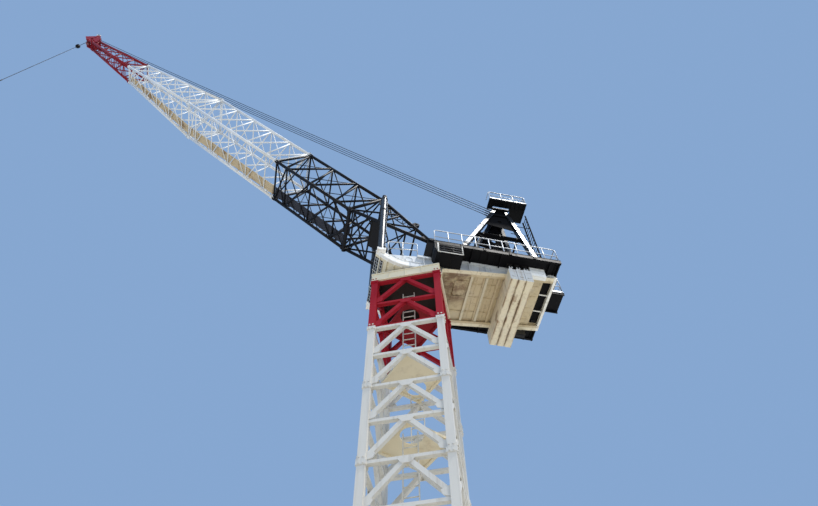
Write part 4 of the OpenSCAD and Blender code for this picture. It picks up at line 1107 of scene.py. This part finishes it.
# Winches: grooved drums wound with rope between flanges, each with a finned motor and
# a brake disc, on welded skids behind the A-frame's front legs.
machine_paint = painted("machine_grey_paint", (0.20, 0.21, 0.22), grime=0.35, rust=0.25, rough=0.34,
                        coat=0.15)
nodes["luffing_winch"].data.materials[0] = machine_paint
nodes["hoist_winch"].data.materials[0] = machine_paint
for name, x, length, width in (("luffing_winch", -1.25, 0.46, 0.30), ("hoist_winch", -2.48, 0.42, 0.24)):
    drum = Solid()
    centre = Vector((x, 0, deck + width / 2 + 0.03))
    end_face = length / 2 + 0.027
    turns = int(length / 0.016)
    pitch = (length - 0.008) / turns
    profile = []
    for k in range(turns):
        h = -length / 2 + 0.004 + k * pitch
        profile += [(width * r, h + pitch * t) for r, t in
                    ((0.365, 0.08), (0.375, 0.3), (0.375, 0.7), (0.365, 0.92))]
    drum.turned(profile, centre, (0, 1, 0), 36)
    drum.done(name + "_rope", galvanised(name + "_rope", (0.22, 0.22, 0.22), 0.3), "upper", "rope_steel")
    works = Solid()
    for side in (-1, 1):
        y = side * (length / 2 + 0.009)
        works.turned([(width * 0.50, -0.012), (width * 0.52, -0.010), (width * 0.52, 0.010),
                      (width * 0.50, 0.012)], centre + Vector((0, y, 0)), (0, 1, 0), 40)
        for k in range(10):
            a = math.pi * k / 5
            spot = Vector((width * 0.30 * math.cos(a), side * end_face, width * 0.30 * math.sin(a)))
            works.bolt(centre + spot, (0, side, 0), 0.007)
    motor = centre + Vector((0, end_face, 0))
    works.turned([(0.055, 0), (0.075, 0.02), (0.075, 0.10), (0.060, 0.11)]
                 + [(0.056 + 0.006 * (k % 2), 0.12 + 0.008 * k) for k in range(12)]
                 + [(0.050, 0.22), (0.030, 0.23)], motor, (0, 1, 0), 28)
    works.block(motor + Vector((0, 0.16, 0.065)), (0.06, 0.07, 0.04), cut=0.2)
    brake = centre - Vector((0, end_face, 0))
    works.turned([(0.05, 0), (0.05, 0.02), (0.085, 0.022), (0.085, 0.030), (0.04, 0.032), (0.03, 0.05)],
                 brake, (0, -1, 0), 28)
    works.done(name + "_works", machine_paint, "upper", "machine_grey")


# Jib butt: the black root section, with round chords that close in on the two pivots,
# a knee beam that rests on the posts, and a bolted plate under the machinery.
jib_rest = math.radians(44.5)
jib_frame = Matrix.Translation(pivot) @ Matrix.Rotation(-jib_rest, 4, "Y")
knee_u, butt_u, mid_u, taper_u, tip_u = 1.9, 4.545, 8.59, 12.6, 15.75
chord_r, lace_r, weld_gap, frame_gap = 0.036, 0.019, 0.04, 0.035


def half(u, root, narrow, tip):
    """Half of a width that stays up to the taper and then narrows in two steps."""
    if u <= mid_u:
        return root
    if u <= taper_u:
        return root + (narrow - root) * (u - mid_u) / (taper_u - mid_u)
    return narrow + (tip - narrow) * (u - taper_u) / (tip_u - taper_u)


def chord(u, side, top):
    """A point on one of the four chords, at a distance along the jib."""
    return Vector((u, side * half(u, 0.48, 0.24, 0.125), top * half(u, 0.5, 0.302, 0.13)))


def heel(side, top):
    """The end of a butt chord at its pivot."""
    return Vector((-0.02, side * pin_y, top * 0.01))


def chord_joint(s, u, side, top):
    """Fork and eye with a headed pin, where two lengths of chord meet."""
    p = chord(u, side, top)
    for k in (-1, 1):
        face = p + Vector((0, k * 0.030 - 0.006, 0))
        s.strip(face - Vector((0, 0, 0.034)), face + Vector((0, 0, 0.034)), (0.075, 0, 0), (0, 0.012, 0))
    s.tube(p - Vector((0, 0.062, 0)), p + Vector((0, 0.062, 0)), 0.016, 14)
    for k in (-1, 1):
        s.turned([(0.024, 0), (0.024, 0.008), (0.018, 0.010)], p + Vector((0, k * 0.052, 0)), (0, k, 0), 14)


def lattice(s, u1, u2, panels, r):
    """Chords, zigzag braces on all four sides, end frames and the joints' sleeves."""
    p = (u2 - u1) / panels
    for side in (-1, 1):
        for top in (-1, 1):
            s.tube(chord(u1 + weld_gap, side, top), chord(u2 - weld_gap, side, top), chord_r, 16)
            for a, b, sleeve in ((u1 + 0.02, u1 + 0.09, ((1.32, 0), (1.32, 0.052), (1.05, 0.070))),
                                 (u2 - 0.09, u2 - 0.02, ((1.05, 0), (1.32, 0.018), (1.32, 0.070)))):
                s.turned([(chord_r * r, h) for r, h in sleeve], chord(a, side, top),
                         chord(b, side, top) - chord(a, side, top), 16)
            chord_joint(s, u1, side, top)
        for i in range(panels):
            u = u1 + i * p
            s.tube(chord(u + weld_gap, side, 1), chord(u + p / 2 - weld_gap, side, -1), r, 10)
            s.tube(chord(u + p / 2 + weld_gap, side, -1), chord(u + p - weld_gap, side, 1), r, 10)
            for node, top in ((u + p / 2, -1), (u + p if i < panels - 1 else u1 + 0.02, 1)):
                c = chord(node, side, top)
                s.plate([c + Vector((x, -0.004, -top * z)) for x, z in
                         ((-0.10, 0.030), (0.10, 0.030), (0.055, 0.085), (-0.055, 0.085))], (0, 0.008, 0))
        for u in (u1 + frame_gap, u2 - frame_gap):
            s.tube(chord(u, side, 1), chord(u, side, -1), r * 0.95, 10)
    for top, shift in ((1, 0), (-1, 0.5)):
        for i in range(panels):
            a = max(u1 + (i + shift) * p, u1 + frame_gap)
            b = min(u1 + (i + 1 + shift) * p, u2 - frame_gap)
            s.tube(chord(a, 1, top), chord(a, -1, top), r * 0.8, 10)
            s.tube(chord(a + 0.03, 1, top), chord(b - 0.03, -1, top), r * 0.8, 10)
            s.tube(chord(a + 0.03, -1, top), chord(b - 0.03, 1, top), r * 0.55, 8)
        s.tube(chord(u2 - frame_gap, 1, top), chord(u2 - frame_gap, -1, top), r * 0.95, 10)
    for u in (u1 + frame_gap, u2 - frame_gap):
        s.tube(chord(u, 1, 1), chord(u, -1, -1), r * 0.7, 10)


gloss_jib = painted("black_jib_paint", (0.010, 0.010, 0.012), grime=0.10, rust=0.12, rough=0.42,
                    stain=(0.04, 0.03, 0.024), fade=0.0, gloss=0.15)
for name in ("knee_frame", "jib_drum"):
    nodes[name].data.materials[0] = gloss_jib
butt = Solid(jib_frame)
knee_end = knee_u + frame_gap
lattice(butt, knee_u, butt_u, 3, 0.024)
for side in (-1, 1):
    root = heel(side, 0)
    for top in (-1, 1):
        butt.tube(heel(side, top), chord(knee_u + 0.05, side, top), chord_r, 16)
    butt.tube(chord(knee_end, side, 1), chord(knee_end, side, -1), 0.034, 14)
    upper, lower = chord(knee_u, side, 1), chord(knee_u, side, -1)
    butt.tube(root.lerp(upper, 0.62), root.lerp(lower, 0.62), 0.022, 10)
    butt.tube(root.lerp(upper, 0.64), chord(knee_u + 0.02, side, -1), 0.020, 10)
    butt.tube(root.lerp(lower, 0.60), root.lerp(upper, 0.34), 0.020, 10)
    butt.turned([(0.075, -0.027), (0.075, -0.018), (0.070, -0.016), (0.070, 0.016), (0.075, 0.018),
                 (0.075, 0.027)], (0, side * pin_y, 0), (0, 1, 0), 32)
    butt.plate([(u, side * pin_y - 0.012, n) for u, n in
                ((0.02, -0.05), (0.26, -0.10), (0.26, 0.10), (0.02, 0.05))], (0, 0.024, 0))
    butt.plate([(knee_u + u, side * 0.486 - 0.012, n) for u, n in
                ((-0.31, 0.417), (0.035, 0.5), (0.035, 0.43), (-0.07, 0.282), (-0.21, 0.282),
                 (-0.31, 0.367))], (0, 0.024, 0))
for top, spans in ((1, ((0.3, 0.85),)), (-1, ((0.3, 0.56), (0.7, 0.92)))):
    for a, b in spans:
        ends = [heel(k, top).lerp(chord(knee_end, k, top), t) for t in (a, b) for k in (-1, 1)]
        butt.tube(ends[0], ends[1], lace_r, 10)
        butt.tube(ends[2], ends[3], lace_r, 10)
        butt.tube(ends[0], ends[3], lace_r * 0.85, 10)
        butt.tube(ends[1], ends[2], lace_r * 0.85, 10)
middle = Vector((knee_u, 0, -0.5))
for side in (-1, 1):
    butt.tube(middle, chord(knee_u + 0.56, side, -1), 0.024, 12)
    butt.tube(middle, heel(side, -1).lerp(chord(knee_end, side, -1), 0.72), 0.024, 12)
butt.block(middle, (0.22, 0.22, 0.016), cut=0.3)
a, b = (heel(0, -1).lerp(chord(knee_end, 0, -1), t) for t in (0.56, 0.70))
down = (b - a).cross(Vector((0, 1, 0))).normalized() * 0.007
butt.plate([p - down + Vector((0, y, 0)) for p, y in ((a, -0.15), (b, -0.15), (b, 0.49), (a, 0.49))],
           down * 2)
for k in range(4):
    for y in (-0.13, 0.47):
        spot = a.lerp(b, 0.1 + 0.26 * k) + Vector((0, y, 0))
        butt.bolt(spot + down, down, 0.008)
        butt.bolt(spot - down, -down, 0.008)
for side in (-1, 1):
    upper = [heel(side, 1).lerp(chord(knee_u, side, 1), 0.28 + 0.64 * k / 7) for k in range(8)]
    lower = [heel(side, -1).lerp(chord(knee_u, side, -1), 0.28 + 0.64 * (k + 0.5) / 7) for k in range(7)]
    rail = [p.lerp(q, 0.34) for p, q in zip(upper, lower)]
    butt.tube(rail[0], rail[-1], 0.010, 8)
    for k in range(7):
        butt.tube(upper[k], rail[k], 0.0085, 8)
        butt.tube(rail[k], upper[k + 1], 0.0085, 8)
    bay = (butt_u - knee_u - 2 * frame_gap) / 3
    for k in range(3):
        a, b = knee_end + bay * k, knee_end + bay * (k + 1)
        butt.tube(chord(a, side, 1), chord(b, side, -1), 0.009, 8)
        butt.tube(chord(a, side, -1), chord(b, side, 1), 0.009, 8)
        butt.tube(chord(a, -1, side), chord(b, 1, side), 0.009, 8)
butt.done("jib_butt_lattice", gloss_jib, "jib", "jib_black",
          ["butt_near", "butt_far", "butt_top", "butt_bottom"])


# Knee beam: a tube through the butt whose ends sit over the rest posts, with end caps,
# and a lower cross tube with collars where the bracing meets it.
knee = Solid(jib_frame)
beam_u, beam_n = knee_u - 0.14, 0.357
band = [(0.042, -0.008), (0.050, -0.006), (0.050, 0.006), (0.042, 0.008)]
end_cap = [(0.042, 0), (0.046, 0.002), (0.046, 0.008), (0.020, 0.010)]
for side in (-1, 1):
    for y in (0.44, 0.56, 0.68):
        knee.turned(band, (beam_u, side * y, beam_n), (0, 1, 0), 28)
    knee.turned(end_cap, (beam_u, side * 0.692, beam_n), (0, side, 0), 28)
    for y in (0.10, 0.40):
        knee.turned(band, (knee_u, side * y, -0.5), (0, 1, 0), 28)
knee.done("knee_beam_collars", gloss_jib, "jib", "jib_black")


# White jib sections: two lengths of round-tube lattice, the outer one tapering, pinned
# end to end at their four chords.
white_jib = painted("white_jib_paint", (0.82, 0.83, 0.82), grime=0.25, rust=0.28, rough=0.36)
middle_jib = Solid(jib_frame)
lattice(middle_jib, butt_u, mid_u, 5, lace_r)
lattice(middle_jib, mid_u, taper_u, 5, lace_r)
middle_jib.done("jib_white_lattice", white_jib, "jib", "jib_white",
                ["mid_near", "mid_far", "mid_top", "mid_bottom"])


# Red jib tip: the last length of round-tube lattice, in the mast's top-section red
# darkened as painted shade. It narrows to the head and is pinned on at its four chords.
red_jib = painted("red_jib_paint", shade(RED, 0.72), grime=0.16, rust=0.1, rough=0.40,
                  stain=(0.12, 0.010, 0.014), fade=0.0, gloss=0.2)
nodes["jib_head"].data.materials[0] = red_jib
tip = Solid(jib_frame)
lattice(tip, taper_u, tip_u, 4, 0.017)
for side in (-1, 1):
    chord_joint(tip, tip_u, side, 1)
    chord_joint(tip, tip_u, side, -1)
zigzag = 0.37
for i in range(8):
    u = taper_u + 0.2 + i * zigzag
    tip.tube(chord(u, -1, -1), chord(u + zigzag / 2, 1, -1), 0.008, 8)
    tip.tube(chord(u + zigzag / 2, 1, -1), chord(u + zigzag, -1, -1), 0.008, 8)
tip.done("jib_red_lattice", red_jib, "jib", "jib_red", ["tip_near", "tip_far", "tip_braces"])


# Walkway in the jib: weathered boards on the far lower chord, on angle brackets, with a
# rope-thin steel guard line beside them.
butt_end = (jib_frame @ chord(butt_u, -1, -1)).x


def board_colour(f):
    """Weathered brown planks, and dark blue-grey ones in the butt."""
    planks = f.noise(2.2, 4, (1, 6, 1))
    tone = f.mix(planks, (0.50, 0.38, 0.22), (0.66, 0.54, 0.36))
    worn = f.mix(f.mask(f.noise(2.7, 6), 0.52, 0.66) * 0.8, tone, (0.27, 0.17, 0.09))
    return f.mix(f.axis("X") < butt_end, worn, f.mix(planks, (0.022, 0.025, 0.034), (0.050, 0.052, 0.066)))


def board_edge(u, number, inset):
    """An edge of a board, counted from the chord; the walkway narrows with the jib."""
    width = (0.240 - 0.072 * max(u - mid_u, 0) / (taper_u - mid_u)) / 3
    return chord(u, -1, -1) + Vector((0, 0.062, 0.024)) + Vector((0, width * number + inset, 0))


boards_paint = painted("weathered_boards", CREAM, grime=0.0, rust=0.3, rough=0.7, other=board_colour,
                       fade=0.0, gloss=0.2)
boards = Solid(jib_frame)
for start, end in ((knee_u + 0.06, butt_u - 0.04), (butt_u + 0.04, mid_u - 0.04),
                   (mid_u + 0.04, taper_u - 0.04)):
    count = round((end - start) / 0.5)
    length = (end - start) / count
    for i in range(count):
        a, b = start + i * length + 0.004, start + (i + 1) * length - 0.004
        for k in range(3):
            boards.plate([board_edge(u, number, inset) for u, number, inset in
                          ((a, k, 0.003), (b, k, 0.003), (b, k + 1, -0.003), (a, k + 1, -0.003))],
                         (0, 0, 0.014))
        edge = chord(a + 0.03, -1, -1) + Vector((0, 0.03, 0.017))
        boards.block(edge + Vector((0, 0.13, 0)), (0.03, 0.26, 0.012), cut=0.3)
boards.done("jib_walk_boards", boards_paint, "jib", "galvanised", ["jib_walkway"])
line = Solid(jib_frame)
for start, end in ((butt_u + 0.1, mid_u - 0.1), (mid_u + 0.1, taper_u - 0.1)):
    a, b = chord(start, -1, -1) + Vector((0, 0.02, 0.42)), chord(end, -1, -1) + Vector((0, 0.02, 0.30))
    line.wire([a.lerp(b, k / 12) - Vector((0, 0, 0.02 * math.sin(math.pi * k / 12))) for k in range(13)],
              0.005, 6)
line.done("jib_guard_line", zinc, "jib", "galvanised")


# Guide sheave: a small grooved steel wheel that leads a rope along the butt, between
# two cheeks on the near upper chord.
guide = Solid(jib_frame)
centre = heel(1, 1).lerp(chord(knee_end, 1, 1), 0.36) + Vector((0, 0, 0.10))
grooved(guide, centre, 0.066, 0.040)
for k in (-1, 1):
    guide.turned([(0.022, 0), (0.022, 0.012), (0.014, 0.014)], centre + Vector((0, k * 0.034, 0)),
                 (0, k, 0), 16)
    guide.block(centre + Vector((0, k * 0.030, -0.055)), (0.124, 0.014, 0.03), cut=0.3)
guide.done("guide_sheave_wheel", gloss_jib, "jib", "jib_black")


# Jib head: two red cheek plates with lightening holes; the luffing sheaves turn on a
# high axle, and the hoist rope leaves over a grooved sheave underneath.
head_u, head_n, line_u, line_n = tip_u + 0.58, 0.25, tip_u + 0.27, -0.142
guide_u, guide_n = head_u + 0.205, head_n + 0.18


def circle(u, y, n, points, radius=0.058):
    """Points round a hole or a rim of the head's plates."""
    return [(u + radius * math.cos(t), y, n + radius * math.sin(t))
            for t in (2 * math.pi * i / points for i in range(points))]


head_bosses = Solid(jib_frame)
for side in (-1, 1):
    y = side * 0.125
    for u, n, r in ((head_u, head_n, 0.052), (line_u, line_n, 0.048)):
        head_bosses.turned([(r, 0), (r, 0.010), (r * 0.7, 0.014), (r * 0.5, 0.014), (r * 0.5, 0.020)],
                         (u, y, n), (0, side, 0), 24)
    for u, n in ((tip_u + 0.17, -0.02), (tip_u + 0.38, 0.04)):
        head_bosses.wire(circle(u, y, n, 24), 0.006, 8, closed=True)
    head_bosses.tube((tip_u + 0.04, y, 0.165), (head_u + 0.14, y, head_n + 0.212), 0.008, 8)
    head_bosses.tube((tip_u + 0.02, y, -0.155), (line_u, y, line_n - 0.055), 0.008, 8)
    for n in (-0.10, 0.0, 0.10):
        head_bosses.bolt((tip_u + 0.018, side * 0.09, n), (1, 0, 0), 0.009)
head_bosses.done("jib_head_bosses", red_jib, "jib", "jib_red")
wheels = Solid(jib_frame)
for k in range(4):
    grooved(wheels, Vector((head_u, (k - 1.5) * rope_step, head_n)), 0.085, 0.034)
wheels.tube((head_u, -0.12, head_n), (head_u, 0.12, head_n), 0.022, 16)
for y in (-0.02, 0.02):
    grooved(wheels, Vector((guide_u, y, guide_n)), 0.073, 0.030)
    grooved(wheels, Vector((line_u, y, line_n)), 0.078, 0.030)
wheels.done("jib_head_sheaves", sheave_steel, "jib", "jib_red")
rims, caps = Solid(jib_frame), Solid(jib_frame)
for side in (-1, 1):
    y = side * 0.132
    rims.wire(circle(guide_u, y, guide_n, 28), 0.010, 8, closed=True)
    caps.turned([(0.050, 0), (0.050, 0.006), (0.030, 0.010), (0.030, 0.016)],
                (guide_u, side * 0.126, guide_n), (0, side, 0), 24)
    for k in range(4):
        t = math.pi * (0.25 + k / 2)
        caps.bolt((guide_u + 0.042 * math.cos(t), y, guide_n + 0.042 * math.sin(t)), (0, side, 0), 0.005)
rims.done("jib_head_sheave_rims", white_jib, "jib", "jib_red")
caps.done("jib_head_sheave_caps", gloss_jib, "jib", "jib_red")


# Luffing ropes: four parallel falls of greased wire rope from the A-frame's head to the
# jib's head, with sockets at their ends.
rope_black = galvanised("greased_wire_rope", (0.030, 0.030, 0.032), rust=0.1)
start = head_pin
end = pivot + jib_frame.to_3x3() @ Vector((head_u, 0, head_n))
along = (end - start).normalized()
falls = Solid()
sag, socket_l = 0.165, 0.16
for k in range(4):
    offset = Vector((0, (k - 1.5) * rope_step, 0))
    a, b = start + along * 0.120 + offset, end - along * 0.03 + offset
    path = [a.lerp(b, t) - Vector((0, 0, 4 * sag * t * (1 - t))) for t in (i / 24 for i in range(25))]
    falls.wire(path, 0.008, 10)
    for p, q in ((path[0], path[1]), (path[-1], path[-2])):
        run = (q - p).normalized()
        falls.tube(p, p + run * socket_l, 0.015, 12)
        falls.tube(p + run * socket_l, p + run * (socket_l + 0.06), 0.011, 12)
falls_piece = falls.done("luffing_rope_falls", rope_black, "falls", "rope_steel", ["luffing_ropes"])
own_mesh(falls_piece)


# Hoist rope: one fall of wire rope from the sheave in the head down to the hook, with a
# round weight clamped on it a little way down.
rope_low, rope_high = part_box("hoist_rope")
rope_x = (rope_low.x + rope_high.x) / 2
rope_l, lay, strand_r = rope_high.z - rope_low.z, 60, 0.0048
hoist = Solid()
for k in range(6):
    strand = []
    for i in range(301):
        h = i * rope_l / 300
        a = k * math.pi / 3 + h * lay
        strand.append((rope_x + strand_r * math.cos(a), strand_r * math.sin(a), rope_low.z + h))
    hoist.wire(strand, 0.0034, 5)
hoist_piece = hoist.done("hoist_rope_strands", rope_black, "line", "rope_steel", ["hoist_rope"])
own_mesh(hoist_piece)
low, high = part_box("rope_weight")
weight = Solid()
z = (low.z + high.z) / 2
weight_half = [(0.011, 0.060), (0.022, 0.056), (0.022, 0.045), (0.058, 0.045), (0.065, 0.038), (0.065, 0.006),
               (0.060, 0.003)]
weight.turned([(r, -h) for r, h in weight_half] + weight_half[::-1], (rope_x, 0, z), (0, 0, 1), 40)
for k in range(4):
    a = k * math.pi / 2
    for up in (1, -1):
        weight.bolt((rope_x + 0.04 * math.cos(a), 0.04 * math.sin(a), z + up * 0.045), (0, 0, up), 0.006)
weight.done("rope_weight_halves", gloss_jib, "line", "rope_steel", ["rope_weight"])


# Hook: a forged hook with a spring latch under a small swivel, painted yellow, and the
# long dark socket that the hoist rope ends in.
hook_paint = painted("hook_yellow", (0.55, 0.38, 0.03), grime=0.5, rust=0.6, rough=0.4, coat=0.1)
hook = Solid()
at = Vector((rope_x, 0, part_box("hook")[0].z))
hook.turned([(0.014, 0.204), (0.020, 0.200), (0.022, 0.188), (0.030, 0.178), (0.034, 0.172),
             (0.034, 0.152), (0.029, 0.144), (0.020, 0.138), (0.018, 0.120)], at, (0, 0, 1), 32)
curve = [(0.0, 0.135), (0.008, 0.124), (0.032, 0.114), (0.049, 0.093), (0.054, 0.068), (0.046, 0.040),
         (0.026, 0.022), (0.0, 0.016), (-0.027, 0.022), (-0.046, 0.040), (-0.054, 0.062), (-0.053, 0.078)]
hook.wire([at + Vector((x, 0, z)) for x, z in curve],
          [0.018, 0.017, 0.017, 0.018, 0.019, 0.020, 0.019, 0.018, 0.016, 0.013, 0.009, 0.005], 14)
hook.done("hook_and_swivel", hook_paint, "hook_block", "hook_paint", ["hook"])
socket = Solid()
socket.turned([(0.008, 0.420), (0.013, 0.416), (0.013, 0.350), (0.010, 0.342), (0.010, 0.262),
               (0.013, 0.256), (0.013, 0.214), (0.010, 0.204)], at, (0, 0, 1), 24)
for z in (0.300, 0.325):
    socket.turned([(0.010, -0.004), (0.0125, -0.002), (0.0125, 0.002), (0.010, 0.004)],
                  at + Vector((0, 0, z)), (0, 0, 1), 20)
socket.done("hook_rope_socket", rope_black, "hook_block", "hook_paint", ["hook"])
latch = Solid()
latch.plate([at + Vector((x, -0.006, z)) for x, z in
             ((-0.046, 0.082), (-0.038, 0.080), (0.002, 0.118), (-0.006, 0.124))], (0, 0.012, 0))
latch.bolt(at + Vector((-0.002, 0.006, 0.121)), (0, 1, 0), 0.005)
latch.done("hook_latch", zinc, "hook_block", "galvanised")


# Floor: a plain pale floor of matt, slightly uneven tone under the base frame. It
# stands for the ground and isn't part of the crane.
floor_mesh = bpy.data.meshes.new("floor")
floor_mesh.from_pydata([(-60, -60, 0), (60, -60, 0), (60, 60, 0), (-60, 60, 0)], [], [(0, 1, 2, 3)])
f = Finish("pale_floor")
uneven = f.mix(f.noise(0.4, 3), (0.64, 0.59, 0.50), (0.70, 0.65, 0.56))
floor_mesh.materials.append(f.set(Base_Color=uneven, Roughness=0.8))
floor = bpy.data.objects.new("floor", floor_mesh)
bpy.context.scene.collection.objects.link(floor)
floor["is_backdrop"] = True


# Light: a soft sun from high up, two fainter and softer ones that open the shadows,
# and a pale blue sky all round.
def lamp(name, energy, aim, size, colour):
    """A far light; the larger its size in degrees, the softer its shadows."""
    light = bpy.data.lights.new(name, "SUN")
    light.energy, light.color, light.angle = energy, colour, math.radians(size)
    made = bpy.data.objects.new(name, light)
    made.rotation_euler = Vector(aim).to_track_quat("Z", "Y").to_euler()
    bpy.context.scene.collection.objects.link(made)


lamp("key", 2.7, (-0.30, 0.26, 0.92), 5, (1.0, 0.97, 0.92))
lamp("side", 1.0, (-0.75, 0.95, 0.60), 20, (1.0, 0.97, 0.92))
lamp("fill", 0.35, (1.0, 0.6, 0.25), 60, (0.86, 0.92, 1.0))
world = bpy.data.worlds.new("pale_sky")
world.use_nodes = True
world.node_tree.nodes["Background"].inputs["Color"].default_value = (0.365, 0.585, 0.96, 1)
world.node_tree.nodes["Background"].inputs["Strength"].default_value = 0.66
bpy.context.scene.world = world
bpy.context.scene.view_settings.view_transform = "Standard"

size = {"cad": [list(v) for v in cad_box], "visual": [list(v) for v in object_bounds()]}
